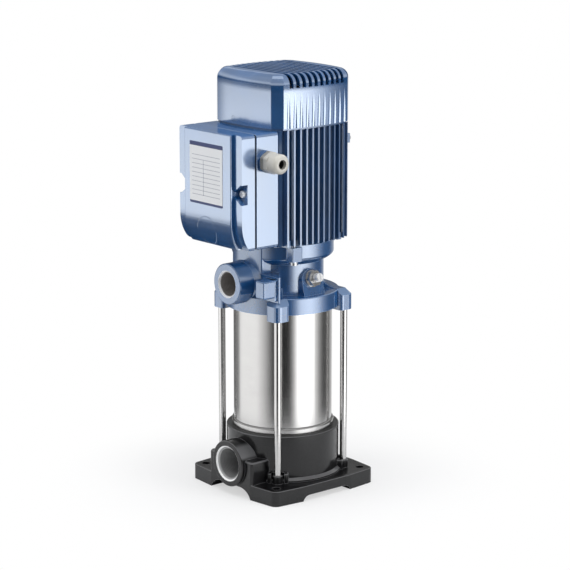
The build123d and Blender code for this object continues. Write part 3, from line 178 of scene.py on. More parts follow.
class Nodes:
    """A node tree. Every node of it comes from add()."""

    def __init__(self, tree):
        self.tree = tree

    def add(self, kind, settings=None, sockets=None, out=0):
        """A new node: its settings first, then the values or links of its sockets."""
        node = self.tree.nodes.new(kind)
        for key, value in (settings or {}).items():
            if key == "stops":
                set_stops(node.color_ramp, value)
            else:
                setattr(node, key, value)
        for key, value in (sockets or {}).items():
            self.feed(node.inputs[key], value)
        return Wire(self, node.outputs[out])

    def feed(self, socket, value):
        """Links a wire into a socket, or sets a plain value on it."""
        if isinstance(value, Wire):
            self.tree.links.new(value.socket, socket)
        elif socket.type == "RGBA" and len(value) == 3:
            socket.default_value = (*value, 1.0)
        else:
            socket.default_value = value

    def maths(self, operation, *values):
        """A Math node on the given values, numbers or wires."""
        return self.add("ShaderNodeMath", {"operation": operation}, dict(enumerate(values)))

    def vectors(self, operation, *values, out="Vector"):
        """A Vector Math node on the given vectors."""
        return self.add("ShaderNodeVectorMath", {"operation": operation}, dict(enumerate(values)), out)

    def mix(self, factor, low, high):
        """A colour between two, by factor."""
        return self.add("ShaderNodeMix", {"data_type": "RGBA"}, {0: factor, 6: low, 7: high}, out=2)


class Finish(Nodes):
    """A procedural material on the object's own coordinates."""

    def __init__(self, name, **constants):
        self.material = bpy.data.materials.new(name)
        self.material.use_nodes = True
        super().__init__(self.material.node_tree)
        self.shader = self.tree.nodes["Principled BSDF"]
        self.set(**constants)
        self.place = self.add("ShaderNodeTexCoord", out="Object")
        node = self.add("ShaderNodeSeparateXYZ", None, {0: self.place}).socket.node
        self.x, self.y, self.z = [Wire(self, node.outputs[i]) for i in range(3)]

    def noise(self, scale, detail=2.0, place=None, roughness=0.5):
        """Even noise from 0 to 1."""
        return self.add("ShaderNodeTexNoise", {"noise_dimensions": "3D"}, {
            "Vector": place or self.place, "Scale": scale, "Detail": detail, "Roughness": roughness})

    def stretched(self, x, y, z):
        """The place with each axis scaled, for grain that runs one way."""
        return self.vectors("MULTIPLY", self.place, (x, y, z))

    def distance(self, along, centre):
        """Distance from a straight axis: along is the axis letter, centre the two other numbers."""
        first, second = [w for name, w in (("x", self.x), ("y", self.y), ("z", self.z)) if name != along]
        a = first - centre[0]
        b = second - centre[1]
        return (a * a + b * b).maths("SQRT")

    def set(self, **values):
        """Sets or links the shader's own sockets."""
        for socket, value in values.items():
            self.feed(self.shader.inputs[socket.replace("_", " ")], value)

    def fed(self, socket):
        """The wire that now feeds one of the shader's sockets."""
        return Wire(self, self.shader.inputs[socket].links[0].from_socket)

    def bump(self, height, distance, onto=None):
        """A Bump node that feeds Normal."""
        sockets = {"Height": height, "Distance": distance}
        if onto is not None:
            sockets["Normal"] = onto
        self.set(Normal=self.add("ShaderNodeBump", None, sockets))


def set_stops(ramp, stops):
    """Fills a colour ramp with (place, grey or colour) pairs."""
    while len(ramp.elements) > 1:
        ramp.elements.remove(ramp.elements[-1])
    for index, (place, tone) in enumerate(stops):
        element = ramp.elements[0] if index == 0 else ramp.elements.new(place)
        element.position = place
        element.color = (tone, tone, tone, 1.0) if isinstance(tone, float) else (*tone, 1.0)


def scaled(colour, factor):
    """A colour made lighter or darker."""
    return tuple(min(1.0, part * factor) for part in colour)


def paint(name, colour, roughness, peel, gloss=1.0):
    """Sprayed paint: faint clouding, orange peel and a bluish gloss."""
    finish = Finish(name, IOR=1.0 + 3.5 * gloss, Specular_Tint=(0.82, 0.90, 1.0), Coat_Weight=0.2 * gloss,
                    Coat_Roughness=0.06)
    clouds = finish.noise(24.0, 3.0)
    specks = finish.noise(900.0, 2.0)
    finish.set(
        Base_Color=finish.mix(clouds.ramp(0.3, 0.7), scaled(colour, 0.86), scaled(colour, 1.12)),
        Roughness=roughness + (specks - 0.5) * 0.06 + (clouds - 0.5) * 0.04)
    finish.bump(finish.noise(420.0, 2.0), peel)
    return finish


def cast(name, colour, roughness):
    """A coated sand casting: pebbly skin whose high spots wear has lightened."""
    finish = Finish(name, IOR=1.2, Coat_Weight=1.0, Coat_Roughness=0.14, Coat_IOR=1.42)
    skin = finish.noise(620.0, 4.0, roughness=0.65)
    waves = finish.noise(70.0, 2.0)
    finish.set(
        Base_Color=finish.mix(skin.ramp(0.35, 0.75), scaled(colour, 0.75), scaled(colour, 1.6)),
        Roughness=roughness + (skin - 0.5) * 0.25)
    finish.bump(skin * 0.7 + waves, 0.10 * MM)
    return finish


def turned(name, colour, roughness, line=3200.0, depth=0.004 * MM):
    """Metal polished round the pump axis: fine lines that change with height only."""
    finish = Finish(name, Metallic=1.0)
    lines = finish.noise(line, 3.0, finish.stretched(0.01, 0.01, 1.0))
    smears = finish.noise(18.0, 3.0, finish.stretched(1.0, 1.0, 2.5))
    finish.set(
        Base_Color=finish.mix(smears, scaled(colour, 0.92), scaled(colour, 1.06)),
        Roughness=roughness + (lines - 0.5) * 0.10 + (smears - 0.5) * 0.05)
    finish.bump(lines, depth)
    return finish


def metal(name, colour, roughness, grain=500.0):
    """Plated or machined metal with a fine even grain."""
    finish = Finish(name, Metallic=1.0)
    speckle = finish.noise(grain, 3.0)
    tone = finish.noise(60.0, 2.0)
    finish.set(
        Base_Color=finish.mix(tone, scaled(colour, 0.85), scaled(colour, 1.08)),
        Roughness=roughness + (speckle - 0.5) * 0.16)
    finish.bump(speckle, 0.015 * MM)
    return finish


def moulded(name, colour, roughness, grain=1500.0, depth=0.02 * MM):
    """Moulded plastic with a fine spark-eroded grain."""
    finish = Finish(name, IOR=1.5)
    fine = finish.noise(grain, 2.0)
    flow = finish.noise(30.0, 2.0)
    finish.set(
        Base_Color=finish.mix(flow, scaled(colour, 0.92), scaled(colour, 1.08)),
        Roughness=roughness + (fine - 0.5) * 0.12)
    finish.bump(fine, depth)
    return finish


def paint_edge_highlights(finish, radius, tone, amount, slope):
    """Painted highlights: lightens the edges, and the bevels that face up and out."""
    soft = finish.add("ShaderNodeBevel", {"samples": 6}, {"Radius": radius})
    true = finish.add("ShaderNodeNewGeometry", out="Normal")
    turn = 1.0 - finish.vectors("DOT_PRODUCT", soft, true, out="Value")
    rise = finish.add("ShaderNodeSeparateXYZ", None, {0: true}, out="Z")
    # Mask of painted highlights: edges found by the bevel, and bevels that face upwards.
    highlight_mask = (turn.ramp(0.02, 0.14) * amount).maths("MAXIMUM", rise.band(0.45, 0.78, 0.15) * slope)
    finish.set(Base_Color=finish.mix(highlight_mask, finish.fed("Base Color"), tone))


def tipped(finish, amount, facing=None):
    """Tips the gloss up or down by a varying slope, as a slightly crowned face does."""
    true = finish.add("ShaderNodeNewGeometry", out="Normal")
    if facing is not None:
        amount = amount * finish.vectors("DOT_PRODUCT", true, facing, out="Value").ramp(0.7, 0.95)
    lean = finish.add("ShaderNodeCombineXYZ", None, {"Z": amount})
    unit = finish.vectors("NORMALIZE", finish.vectors("ADD", true, lean))
    finish.feed(finish.fed("Normal").socket.node.inputs["Normal"], unit)


def ported(finish, port_z, ring_inner, ring_outer, face_y, bore_colour):
    """Bares the metal of a machined port, its bright mouth ring and its fine thread."""
    out = finish.distance("y", (0.0, port_z))
    bore = (out < ring_outer) * (finish.y < face_y + BORE_DEPTH)
    ring = (out > ring_inner) * (finish.y < face_y + RING_DEPTH)
    turn = (finish.z - port_z).maths("ARCTAN2", finish.x) / (2 * pi)
    ridge = (finish.y / THREAD_PITCH + turn).maths("PINGPONG", 0.5) * (finish.y < face_y + THREAD_DEPTH)
    peel = finish.fed("Normal")
    coat = finish.shader.inputs["Coat Weight"].default_value
    finish.set(
        Base_Color=finish.mix(bore, finish.fed("Base Color"), finish.mix(ring, bore_colour, RING_METAL)),
        Roughness=finish.fed("Roughness") * (1.0 - bore) + bore * (0.5 - 0.2 * ring),
        Metallic=bore * (0.3 - 0.28 * ring),
        Coat_Weight=(1.0 - bore) * coat)
    finish.bump(ridge * bore * (1.0 - ring), 0.4 * MM, peel)


class Paintbox:
    """Makes each finish once, when a piece first asks for it."""

    def __init__(self):
        self.made = {}

    def get(self, name):
        """The material of that name."""
        if name not in self.made:
            self.made[name] = getattr(self, name)().material
        return self.made[name]

    @property
    def colours(self):
        """The colours from the sidebar."""
        return bpy.context.scene.pump_colours

    def head_enamel(self):
        """Blue enamel of the delivery head, with its machined port."""
        finish = paint("Head enamel", self.colours.enamel, 0.2, 0.03 * MM, 0.55)
        # Painted highlights on the head's edges and on its bevels that face up.
        paint_edge_highlights(finish, 1.0 * MM, EDGE_HIGHLIGHT_BLUE, 0.75, 0.25)
        ported(finish, DELIVERY_Z, 15.625 * MM, 17.65 * MM, -92.6 * MM, (0.30, 0.27, 0.24))
        return finish

    def frame_enamel(self):
        """Blue enamel of the finned motor frame."""
        return paint("Frame enamel", scaled(self.colours.enamel, 0.8), 0.3, 0.04 * MM, 0.6)

    def glossy_blue(self, name):
        """The glossy blue that cover, box and lid share."""
        return paint(name, self.colours.moulding, 0.16, 0.02 * MM)

    def blue_moulding(self):
        """Glossy blue of the terminal box's base and the cover screws."""
        return self.glossy_blue("Blue moulding")

    def cover_moulding(self):
        """Blue of the fan cover, whose gloss turns up a little below the shoulder."""
        finish = self.glossy_blue("Cover moulding")
        shoulder = finish.z.band(532 * MM, 533 * MM, 9 * MM)
        tipped(finish, shoulder * 0.07)
        return finish

    def foot_coat(self):
        """Black coat of the foot casting, with its machined port."""
        finish = cast("Foot coat", self.colours.casting, 0.36)
        # Painted highlights on the foot's edges and on its bevels that face up.
        paint_edge_highlights(finish, 1.2 * MM, EDGE_HIGHLIGHT_BLACK, 0.85, 0.5)
        ported(finish, SUCTION_Z, 21.375 * MM, 23.25 * MM, -93.4 * MM, (0.36, 0.36, 0.36))
        return finish

    def barrel_steel(self):
        """Polished stainless steel of the barrel."""
        return turned("Barrel steel", self.colours.steel, 0.2)

    def rod_steel(self):
        """Drawn stainless steel of the tie rods."""
        return turned("Rod steel", scaled(self.colours.steel, 1.15), 0.22, 1800.0, 0.001 * MM)

    def lid_moulding(self):
        """Blue of the lid: its gloss turns down above the lower bend, where a round mould mark shows."""
        finish = self.glossy_blue("Lid moulding")
        bend = finish.z.band(356 * MM, 364 * MM, 20 * MM)
        tipped(finish, bend * -0.22, FRONT)
        out = finish.distance("y", (-3.5 * MM, 349.5 * MM))
        mark = out.band(17.6 * MM, 18.2 * MM, 0.5 * MM) * (finish.y < -100 * MM)
        finish.bump(1.0 - mark, 0.3 * MM, finish.fed("Normal"))
        return finish

    def bright_zinc(self):
        """Zinc of the lid screws and the vent screw, coloured near white as a painted glint."""
        finish = Finish("Bright zinc", Metallic=0.45, IOR=2.2)
        speckle = finish.noise(600.0, 2.0)
        finish.set(
            # Near-white base colour: painted glint.
            Base_Color=finish.mix(speckle, (0.86, 0.87, 0.88), (0.98, 0.98, 0.98)),
            Roughness=0.26 + (speckle - 0.5) * 0.1)
        finish.bump(speckle, 0.01 * MM)
        return finish

    def zinc(self):
        """Zinc on the bolts and the earth screw."""
        return metal("Zinc", (0.70, 0.71, 0.73), 0.3)

    def plug_steel(self):
        """Machined steel of the priming plug."""
        return metal("Plug steel", (0.62, 0.61, 0.60), 0.24, 900.0)

    def pressed_steel(self):
        """Pressed stainless sheet of the stages and of what holds them."""
        return metal("Pressed steel", (0.64, 0.64, 0.63), 0.3, 300.0)

    def shaft_steel(self):
        """Ground steel of the shafts, the bearings and the turning half of the seal."""
        return turned("Shaft steel", (0.70, 0.70, 0.71), 0.24, 2600.0)

    def light_alloy(self):
        """Drawn alloy of the capacitor's can."""
        return metal("Light alloy", (0.60, 0.61, 0.62), 0.42, 350.0)

    def bare_iron(self):
        """Bare iron of the coupling."""
        return metal("Bare iron", (0.30, 0.29, 0.28), 0.5, 420.0)

    def sheet_stack(self):
        """Stacked iron sheets of stator and rotor."""
        finish = Finish("Sheet stack", Metallic=1.0)
        sheet_thick = 0.5 * MM
        wave = (finish.z * (2 * pi / sheet_thick)).maths("SINE")
        finish.set(
            Base_Color=finish.mix(finish.noise(40.0), (0.16, 0.15, 0.15), (0.27, 0.25, 0.24)),
            Roughness=0.5 + wave * 0.06)
        finish.bump(wave, 0.03 * MM)
        return finish

    def copper_wire(self):
        """Varnished copper wire."""
        finish = Finish("Copper wire", Metallic=0.85, Coat_Weight=0.5)
        strands = finish.noise(900.0, 2.0, finish.stretched(1.0, 1.0, 0.12))
        finish.set(
            Base_Color=finish.mix(strands, (0.42, 0.16, 0.07), (0.74, 0.36, 0.18)),
            Roughness=0.3 + strands * 0.15)
        finish.bump(strands, 0.2 * MM)
        return finish

    def brass(self):
        """Brass of the terminal studs."""
        return metal("Brass", (0.72, 0.52, 0.22), 0.25, 700.0)

    def grey_moulding(self):
        """Grey moulding of the gland's body and the seal seat: the gland's grey darkened, painted shade
        on the body.
        """
        return moulded("Grey moulding", scaled(self.colours.gland, 0.56), 0.36)

    def pale_moulding(self):
        """The gland's grey lightened for the gland's nut: painted light."""
        return moulded("Pale moulding", scaled(self.colours.gland, 1.08), 0.28)

    def black_moulding(self):
        """Black plastic of fan, board and bush."""
        return moulded("Black moulding", (0.020, 0.020, 0.022), 0.45)

    def rubber(self):
        """Black rubber of the seals."""
        return moulded("Rubber", (0.014, 0.014, 0.014), 0.7, 800.0, 0.04 * MM)

    def rating_plate(self):
        """White film with a bar at head and foot and ruled lines between, without words."""
        sizes = bpy.context.scene.pump_sizes
        finish = Finish("Rating plate", IOR=1.5)
        up = (finish.z - sizes.plate_low) / sizes.plate_high
        across = (finish.x - sizes.plate_left) / sizes.plate_wide
        bars = (up > 0.935) + (up < 0.04)
        inside = (across > 0.07) * (across < 0.93) * (up > 0.09) * (up < 0.80)
        step = (up * 14.0).maths("FRACT")
        column = (across - 0.42).maths("ABSOLUTE")
        lines = (step < 0.12) * inside
        upright = (column < 0.007) * (up > 0.142) * (up < 0.72)
        ink = (bars + 0.6 * lines + 0.6 * upright).maths("MINIMUM", 1.0)
        grain = finish.noise(600.0)
        finish.set(
            Base_Color=finish.mix(ink, (0.72, 0.73, 0.74), self.colours.plate_ink),
            Roughness=0.32 + (grain - 0.5) * 0.1)
        finish.bump(grain, 0.01 * MM)
        return finish


paintbox = Paintbox()


def dress(finish, *nodes):
    """Gives the solids of these nodes that finish."""
    material = paintbox.get(finish)
    for node in nodes:
        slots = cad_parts[node].material_slots
        if not slots:
            raise RuntimeError(f"{node} has no material slot")
        for slot in slots:
            slot.material = material


def make_object(name, bm, material):
    """Turns a finished bmesh into an object in the scene."""
    mesh = bpy.data.meshes.new(name)
    bm.to_mesh(mesh)
    bm.free()
    mesh.materials.append(material)
    made = bpy.data.objects.new(name, mesh)
    bpy.context.scene.collection.objects.link(made)
    return made


def add_piece(name, bm, finish):
    """Adds a piece that rides on the pump's body."""
    bmesh.ops.remove_doubles(bm, verts=bm.verts[:], dist=SAME)
    bmesh.ops.recalc_face_normals(bm, faces=bm.faces[:])
    piece = make_object(name, bm, paintbox.get(finish))
    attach(piece, BODY)


def box_mesh(low, high):
    """A box between two corners."""
    bm = bmesh.new()
    bmesh.ops.create_cube(bm, size=1.0)
    bmesh.ops.scale(bm, vec=[b - a for a, b in zip(low, high)], verts=bm.verts[:])
    bmesh.ops.translate(bm, vec=[(a + b) / 2 for a, b in zip(low, high)], verts=bm.verts[:])
    return bm


def round_edges(bm, offset, segments, test):
    """Bevels the edges whose middle and direction pass a test."""
    picked = []
    for edge in bm.edges:
        first, second = [vert.co for vert in edge.verts]
        if test((first + second) / 2, (second - first).normalized()):
            picked.append(edge)
    bmesh.ops.bevel(bm, geom=picked, affect="EDGES", offset=offset, segments=segments, profile=0.5,
                    material=-1)


def keep_side(bm, place, normal):
    """Cuts off what lies beyond a plane and closes the cut."""
    whole = bm.verts[:] + bm.edges[:] + bm.faces[:]
    cut = bmesh.ops.bisect_plane(
        bm, geom=whole, dist=SAME, plane_co=place, plane_no=normal, clear_outer=True)
    edges = [item for item in cut["geom_cut"] if isinstance(item, bmesh.types.BMEdge)]
    bmesh.ops.edgeloop_fill(bm, edges=edges)


class PUMP_OT_castings(bpy.types.Operator):
    """Coats the foot casting and enamels the delivery head"""

    bl_idname = "pump.castings"
    bl_label = "Castings"

    def execute(self, context):
        dress("foot_coat", "base_casting")
        dress("head_enamel", "delivery_head")
        return {"FINISHED"}


class PUMP_OT_port_wall(bpy.types.Operator):
    """Adds the wall behind the upper port, the port's root and the pad beside it"""

    bl_idname = "pump.port_wall"
    bl_label = "Port wall and pad"

    def execute(self, context):
        sizes = context.scene.pump_sizes
        foot, top = 262 * MM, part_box("delivery_head")[1][2] - 0.4 * MM
        reach, half, back = sizes.tower_reach, sizes.tower_half, -45 * MM
        bm = bmesh.new()
        bmesh.ops.create_cone(
            bm, cap_ends=True, segments=160, radius1=reach, radius2=reach, depth=top - foot)
        bmesh.ops.translate(bm, vec=(0.0, 0.0, (foot + top) / 2), verts=bm.verts[:])
        keep_side(bm, (half, 0.0, 0.0), (1.0, 0.0, 0.0))
        keep_side(bm, (-half, 0.0, 0.0), (-1.0, 0.0, 0.0))
        keep_side(bm, (0.0, back, 0.0), (0.0, 1.0, 0.0))
        round_edges(bm, 1.6 * MM, 3, lambda middle, way: (
            abs(way.z) > 0.9 and abs(middle.x) > half - NEAR and middle.y < back - NEAR))
        add_piece("port_wall", bm, "head_enamel")

        root_wide, root_narrow, root_y = 30.5 * MM, 26.8 * MM, -64.5 * MM
        bm = bmesh.new()
        bmesh.ops.create_cone(
            bm, cap_ends=True, segments=96, radius1=root_wide, radius2=root_narrow, depth=9 * MM)
        bmesh.ops.rotate(bm, matrix=Matrix.Rotation(radians(90), 3, "X"), verts=bm.verts[:])
        bmesh.ops.translate(bm, vec=(0.0, root_y, DELIVERY_Z), verts=bm.verts[:])
        add_piece("port_root", bm, "head_enamel")

        pad_back = -58 * MM
        bm = box_mesh((43 * MM, -sizes.pad_reach, 265 * MM), (60 * MM, pad_back, 288 * MM))
        round_edges(bm, 2.0 * MM, 4, lambda middle, way: middle.y < pad_back - NEAR)
        add_piece("port_pad", bm, "head_enamel")
        return {"FINISHED"}


class PUMP_OT_lug_tops(bpy.types.Operator):
    """Adds the bevelled tops of the four lugs over the tie rods"""

    bl_idname = "pump.lug_tops"
    bl_label = "Lug tops"

    def execute(self, context):
        top = context.scene.pump_sizes.lug_top
        inner, outer, foot = 42.7 * MM, 65.3 * MM, 233.4 * MM
        for number in range(4):
            bm = box_mesh((inner, inner, foot), (outer, outer, top))
            round_edges(bm, 8.6 * MM, 5, lambda middle, way: (
                abs(way.z) > 0.9 and middle.x + middle.y > 2 * outer - NEAR))
            round_edges(bm, 8.0 * MM, 1, lambda middle, way: (
                middle.z > top - NEAR and middle.x + middle.y > inner + outer))
            round_edges(bm, 5.0 * MM, 4, lambda middle, way: (
                abs(way.z) > 0.9 and abs(middle.x - middle.y) > outer - inner - NEAR))
            turn = Matrix.Rotation(radians(90 * number), 3, "Z")
            bmesh.ops.rotate(bm, matrix=turn, verts=bm.verts[:])
            add_piece(f"lug_top_{number + 1}", bm, "head_enamel")
        return {"FINISHED"}


class PUMP_OT_barrel(bpy.types.Operator):
    """Polishes the barrel, its tie rods and their seals"""

    bl_idname = "pump.barrel"
    bl_label = "Barrel and rods"

    def execute(self, context):
        dress("barrel_steel", "barrel_sleeve")
        dress("rod_steel", "tie_rods")
        dress("rubber", "barrel_o_rings")
        return {"FINISHED"}


class PUMP_OT_stages(bpy.types.Operator):
    """Finishes the stages, the pump shaft and the shaft seal inside the barrel"""

    bl_idname = "pump.stages"
    bl_label = "Stages and shaft"

    def execute(self, context):
        stages = [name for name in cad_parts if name.startswith(("stage_casing", "impeller"))]
        dress("pressed_steel", "inlet_spider", "stack_clamp_ring", "seal_cover", "shaft_spacers", *stages)
        dress("shaft_steel", "pump_shaft", "impeller_nut", "seal_head")
        dress("black_moulding", "lower_bush")
        dress("grey_moulding", "seal_seat")
        return {"FINISHED"}


class PUMP_OT_motor(bpy.types.Operator):
    """Enamels the finned frame and finishes what turns inside it"""

    bl_idname = "pump.motor"
    bl_label = "Motor"

    def execute(self, context):
        dress("frame_enamel", "motor_housing", "drive_end_shield", "top_end_shield")
        dress("sheet_stack", "stator_core", "rotor_core")
        dress("copper_wire", "stator_windings")
        dress("shaft_steel", "motor_shaft", "bearing_inner_races", "bearing_outer_races")
        dress("bare_iron", "coupling_sleeve")
        dress("zinc", "motor_tie_bolts", "flange_bolts", "earth_screw")
        return {"FINISHED"}


class PUMP_OT_cover(bpy.types.Operator):
    """Finishes the slotted fan cover, its screws and the fan"""

    bl_idname = "pump.cover"
    bl_label = "Fan and cover"

    def execute(self, context):
        dress("cover_moulding", "fan_cover")
        dress("blue_moulding", "fan_cover_screws")
        dress("black_moulding", "fan")
        return {"FINISHED"}


class PUMP_OT_terminal_box(bpy.types.Operator):
    """Finishes the terminal box and what is wired inside it"""

    bl_idname = "pump.terminal_box"
    bl_label = "Terminal box"

    def execute(self, context):
        dress("blue_moulding", "terminal_box_base")
        dress("lid_moulding", "terminal_box_lid")
        dress("rubber", "lid_gasket")
        dress("bright_zinc", "lid_screws")
        dress("black_moulding", "terminal_board")
        dress("brass", "terminal_studs")
        dress("light_alloy", "run_capacitor")
        return {"FINISHED"}


class PUMP_OT_gland(bpy.types.Operator):
    """Finishes the cable gland"""

    bl_idname = "pump.gland"
    bl_label = "Cable gland"

    def execute(self, context):
        # The gland's one grey in two tones: painted shade on the body, painted light on the nut.
        dress("grey_moulding", "gland_body")
        dress("pale_moulding", "gland_nut")
        dress("rubber", "gland_seal")
        return {"FINISHED"}


class PUMP_OT_vent(bpy.types.Operator):
    """Finishes the priming plug and its vent screw"""

    bl_idname = "pump.vent"
    bl_label = "Plug and vent"

    def execute(self, context):
        dress("plug_steel", "priming_plug")
        dress("bright_zinc", "vent_screw")
        return {"FINISHED"}


class PUMP_OT_rating_plate(bpy.types.Operator):
    """Adds the ruled plate on the front of the terminal box"""

    bl_idname = "pump.rating_plate"
    bl_label = "Rating plate"

    def execute(self, context):
        sizes = context.scene.pump_sizes
        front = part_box("terminal_box_lid")[0][1]
        bm = bmesh.new()
        half_x, half_z = sizes.plate_wide / 2, sizes.plate_high / 2
        signs = ((-1, -1), (1, -1), (1, 1), (-1, 1))
        bm.faces.new([bm.verts.new((x * half_x, 0.0, z * half_z)) for x, z in signs])
        bmesh.ops.bevel(bm, geom=bm.verts[:], affect="VERTICES", offset=1.5 * MM, segments=5, profile=0.5,
                        material=-1)
        lifted = bmesh.ops.extrude_face_region(bm, geom=bm.faces[:])
        risen = [item for item in lifted["geom"] if isinstance(item, bmesh.types.BMVert)]
        bmesh.ops.translate(bm, vec=(0.0, -sizes.plate_thick, 0.0), verts=risen)
        rim = [item for item in lifted["geom"] if isinstance(item, bmesh.types.BMEdge)]
        bmesh.ops.bevel(bm, geom=rim, affect="EDGES", offset=0.1 * MM, segments=2, profile=0.5,
                        material=-1)
        middle = Vector((sizes.plate_left + half_x, front - 0.02 * MM, sizes.plate_low + half_z))
        bmesh.ops.translate(bm, vec=middle, verts=bm.verts[:])
        add_piece("rating_plate", bm, "rating_plate")
        return {"FINISHED"}


# The camera, solved from the photograph's perspective. Degrees, metres and millimetres of lens.
CAMERA_AZIMUTH = 49.715
CAMERA_PITCH = 12.798
CAMERA_PLACE = (2.18504, -1.85207, 0.91325)
CAMERA_LENS = 143.61
CAMERA_SHIFT = 2.25 / 570

# The round wall that shows in gloss: degrees round from the camera and the tone there, then heights.
WALL_RADIUS = 2.4
WALL_FOOT = -2.2
WALL_HEIGHT = 9.0
WALL_GAIN = 3.3
WALL_TONES = [
    (-180, 0.30), (-164, 0.06), (-140, 0.04), (-126, 0.12), (-114, 0.48), (-62, 0.50), (-42, 0.28),
    (-24, 0.04), (-12, 0.01), (16, 0.01), (26, 0.25), (36, 0.85), (58, 1.00), (74, 0.70), (90, 0.20),
    (106, 0.04), (132, 0.04), (146, 0.20), (180, 0.30),
]
WALL_BAND = (-0.60, 0.10)
WALL_SKY = (0.70, 1.10)
WALL_TOP = (1.20, 1.90)
LAMP_AIM = Vector((0.0, 0.0, 0.26))


def around_axis(azimuth, distance, height):
    """A place round the pump, at an azimuth in degrees from the camera's side."""
    angle = radians(CAMERA_AZIMUTH + azimuth)
    return Vector((sin(angle) * distance, -cos(angle) * distance, height))


def add_lamp(name, azimuth, distance, height, size, power):
    """A soft square lamp that lights the pump and isn't seen in its gloss."""
    data = bpy.data.lights.new(name, "AREA")
    data.shape = "RECTANGLE"
    data.size, data.size_y = size
    data.energy = power
    lamp = bpy.data.objects.new(name, data)
    lamp.location = around_axis(azimuth, distance, height)
    lamp.rotation_euler = (LAMP_AIM - lamp.location).to_track_quat("-Z", "Y").to_euler()
    lamp.visible_glossy = False
    lamp.visible_camera = False
    bpy.context.scene.collection.objects.link(lamp)


def add_floor(radius):
    """A pale disc under the pump that keeps its shadow and fades to white at its rim."""
    bm = bmesh.new()
    bmesh.ops.create_circle(bm, cap_ends=True, segments=96, radius=radius)
    bmesh.ops.translate(bm, vec=(0.0, 0.0, -0.1 * MM), verts=bm.verts[:])
    finish = Finish("Pale floor", Base_Color=(0.86, 0.86, 0.86), Roughness=0.7)
    grain = finish.noise(200.0)
    finish.set(Roughness=0.65 + grain * 0.1)
    white = finish.add("ShaderNodeEmission", None, {"Color": (1.0, 1.0, 1.0), "Strength": 1.0})
    seen = finish.add("ShaderNodeLightPath", out="Is Camera Ray")
    fade = finish.distance("z", (0.0, 0.0)).ramp(radius * 0.35, radius * 0.9)
    both = finish.add("ShaderNodeMixShader", None, {
        0: seen * (0.55 + 0.45 * fade), 1: Wire(finish, finish.shader.outputs[0]), 2: white})
    finish.feed(finish.tree.nodes["Material Output"].inputs["Surface"], both)
    make_object("floor", bm, finish.material)


def add_light_wall():
    """A round wall of light and dark panels that only shows in gloss."""
    bm = bmesh.new()
    bmesh.ops.create_circle(bm, cap_ends=False, segments=128, radius=WALL_RADIUS)
    raised = bmesh.ops.extrude_edge_only(bm, edges=bm.edges[:])
    top = [item for item in raised["geom"] if isinstance(item, bmesh.types.BMVert)]
    bmesh.ops.translate(bm, vec=(0.0, 0.0, WALL_HEIGHT), verts=top)
    bmesh.ops.translate(bm, vec=(0.0, 0.0, WALL_FOOT), verts=bm.verts[:])
    finish = Finish("Light wall")
    azimuth = finish.x.maths("ARCTAN2", 0.0 - finish.y)
    turn = ((azimuth - radians(CAMERA_AZIMUTH)) / (2 * pi) + 0.5).maths("FRACT")
    stops = [((angle + 180) / 360, tone) for angle, tone in WALL_TONES]
    tone = finish.add("ShaderNodeValToRGB", {"stops": stops}, {"Fac": turn})
    low = 0.05 + 0.95 * finish.z.band(*WALL_BAND, 0.35)
    high = 0.25 * finish.z.ramp(*WALL_SKY) * (1.0 - 0.5 * finish.z.ramp(*WALL_TOP))
    light = finish.add("ShaderNodeEmission", None, {"Color": tone * low + high, "Strength": WALL_GAIN})
    finish.feed(finish.tree.nodes["Material Output"].inputs["Surface"], light)
    wall = make_object("light_wall", bm, finish.material)
    wall.visible_camera = False
    wall.visible_diffuse = False
    wall.visible_shadow = False
    wall.visible_transmission = False


def set_world():
    """White behind the pump and in its gloss, a plain grey sky for the light on it."""
    world = bpy.data.worlds.new("Studio")
    bpy.context.scene.world = world
    world.use_nodes = True
    sky = Nodes(world.node_tree)
    rays = sky.add("ShaderNodeLightPath").socket.node.outputs
    seen, gloss, through = [
        Wire(sky, rays[f"Is {name} Ray"]) for name in ("Camera", "Glossy", "Transmission")]
    white = seen.maths("MAXIMUM", gloss).maths("MAXIMUM", through)
    tone = sky.mix(white, (0.34, 0.35, 0.37), (1.0, 1.0, 1.0))
    sky.feed(sky.tree.nodes["Background"].inputs["Color"], tone)


def add_camera():
    """The camera at the photograph's viewing angle."""
    data = bpy.data.cameras.new("Photo camera")
    data.lens = CAMERA_LENS
    data.sensor_width = 36.0
    data.shift_x = CAMERA_SHIFT
    camera = bpy.data.objects.new("Photo camera", data)
    camera.location = CAMERA_PLACE
    camera.rotation_euler = (radians(90 - CAMERA_PITCH), 0.0, radians(CAMERA_AZIMUTH))
    bpy.context.scene.collection.objects.link(camera)
    bpy.context.scene.camera = camera


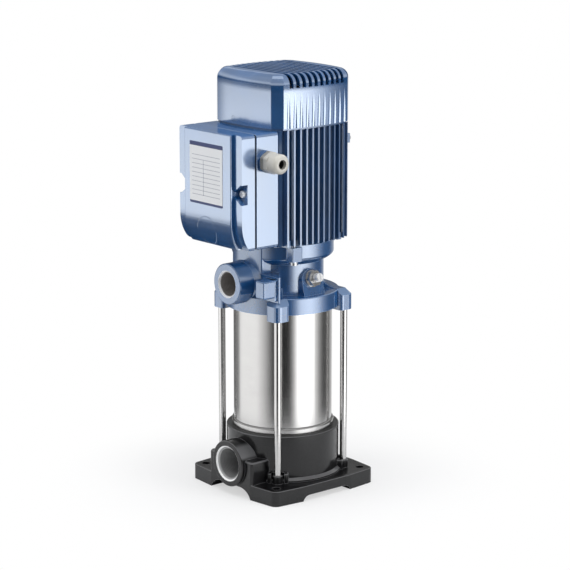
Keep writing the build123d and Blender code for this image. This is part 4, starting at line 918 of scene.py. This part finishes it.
class PUMP_OT_stage(bpy.types.Operator):
    """Sets up floor, lamps, world and camera"""

    bl_idname = "pump.stage"
    bl_label = "Studio"

    def execute(self, context):
        context.scene.view_settings.view_transform = "Standard"
        set_world()
        add_floor(context.scene.pump_sizes.floor_radius)
        add_light_wall()
        add_lamp("Left softbox", -80.0, 1.8, 0.7, (1.2, 1.4), 16.0)
        add_lamp("Right softbox", 60.0, 1.8, 0.6, (1.0, 1.4), 22.0)
        add_lamp("Top softbox", 0.0, 0.3, 2.0, (1.6, 1.6), 26.0)
        add_camera()
        return {"FINISHED"}


STEPS = (
    PUMP_OT_castings, PUMP_OT_port_wall, PUMP_OT_lug_tops, PUMP_OT_barrel, PUMP_OT_stages, PUMP_OT_motor,
    PUMP_OT_cover, PUMP_OT_terminal_box, PUMP_OT_gland, PUMP_OT_vent, PUMP_OT_rating_plate, PUMP_OT_stage,
)


class PUMP_PT_sidebar(bpy.types.Panel):
    """Lists the steps and the values they use"""

    bl_idname = "PUMP_PT_sidebar"
    bl_label = "Multistage pump"
    bl_space_type = "VIEW_3D"
    bl_region_type = "UI"
    bl_category = "Pump"

    def draw(self, context):
        layout = self.layout
        for step in STEPS:
            layout.operator(step.bl_idname)
        for group in (context.scene.pump_colours, context.scene.pump_sizes):
            box = layout.box()
            for name in group.__annotations__:
                box.prop(group, name)


CLASSES = (PumpColours, PumpSizes, *STEPS, PUMP_PT_sidebar)


def register():
    """Registers the classes and hangs the values on the scene."""
    for item in CLASSES:
        bpy.utils.register_class(item)
    bpy.types.Scene.pump_colours = bpy.props.PointerProperty(type=PumpColours)
    bpy.types.Scene.pump_sizes = bpy.props.PointerProperty(type=PumpSizes)


def unregister():
    """Takes the values and the classes away again."""
    del bpy.types.Scene.pump_sizes
    del bpy.types.Scene.pump_colours
    for item in reversed(CLASSES):
        bpy.utils.unregister_class(item)


def main():
    """Runs every step in order."""
    register()
    for step in STEPS:
        group, name = step.bl_idname.split(".")
        getattr(getattr(bpy.ops, group), name)()


if __name__ == "__main__":
    main()
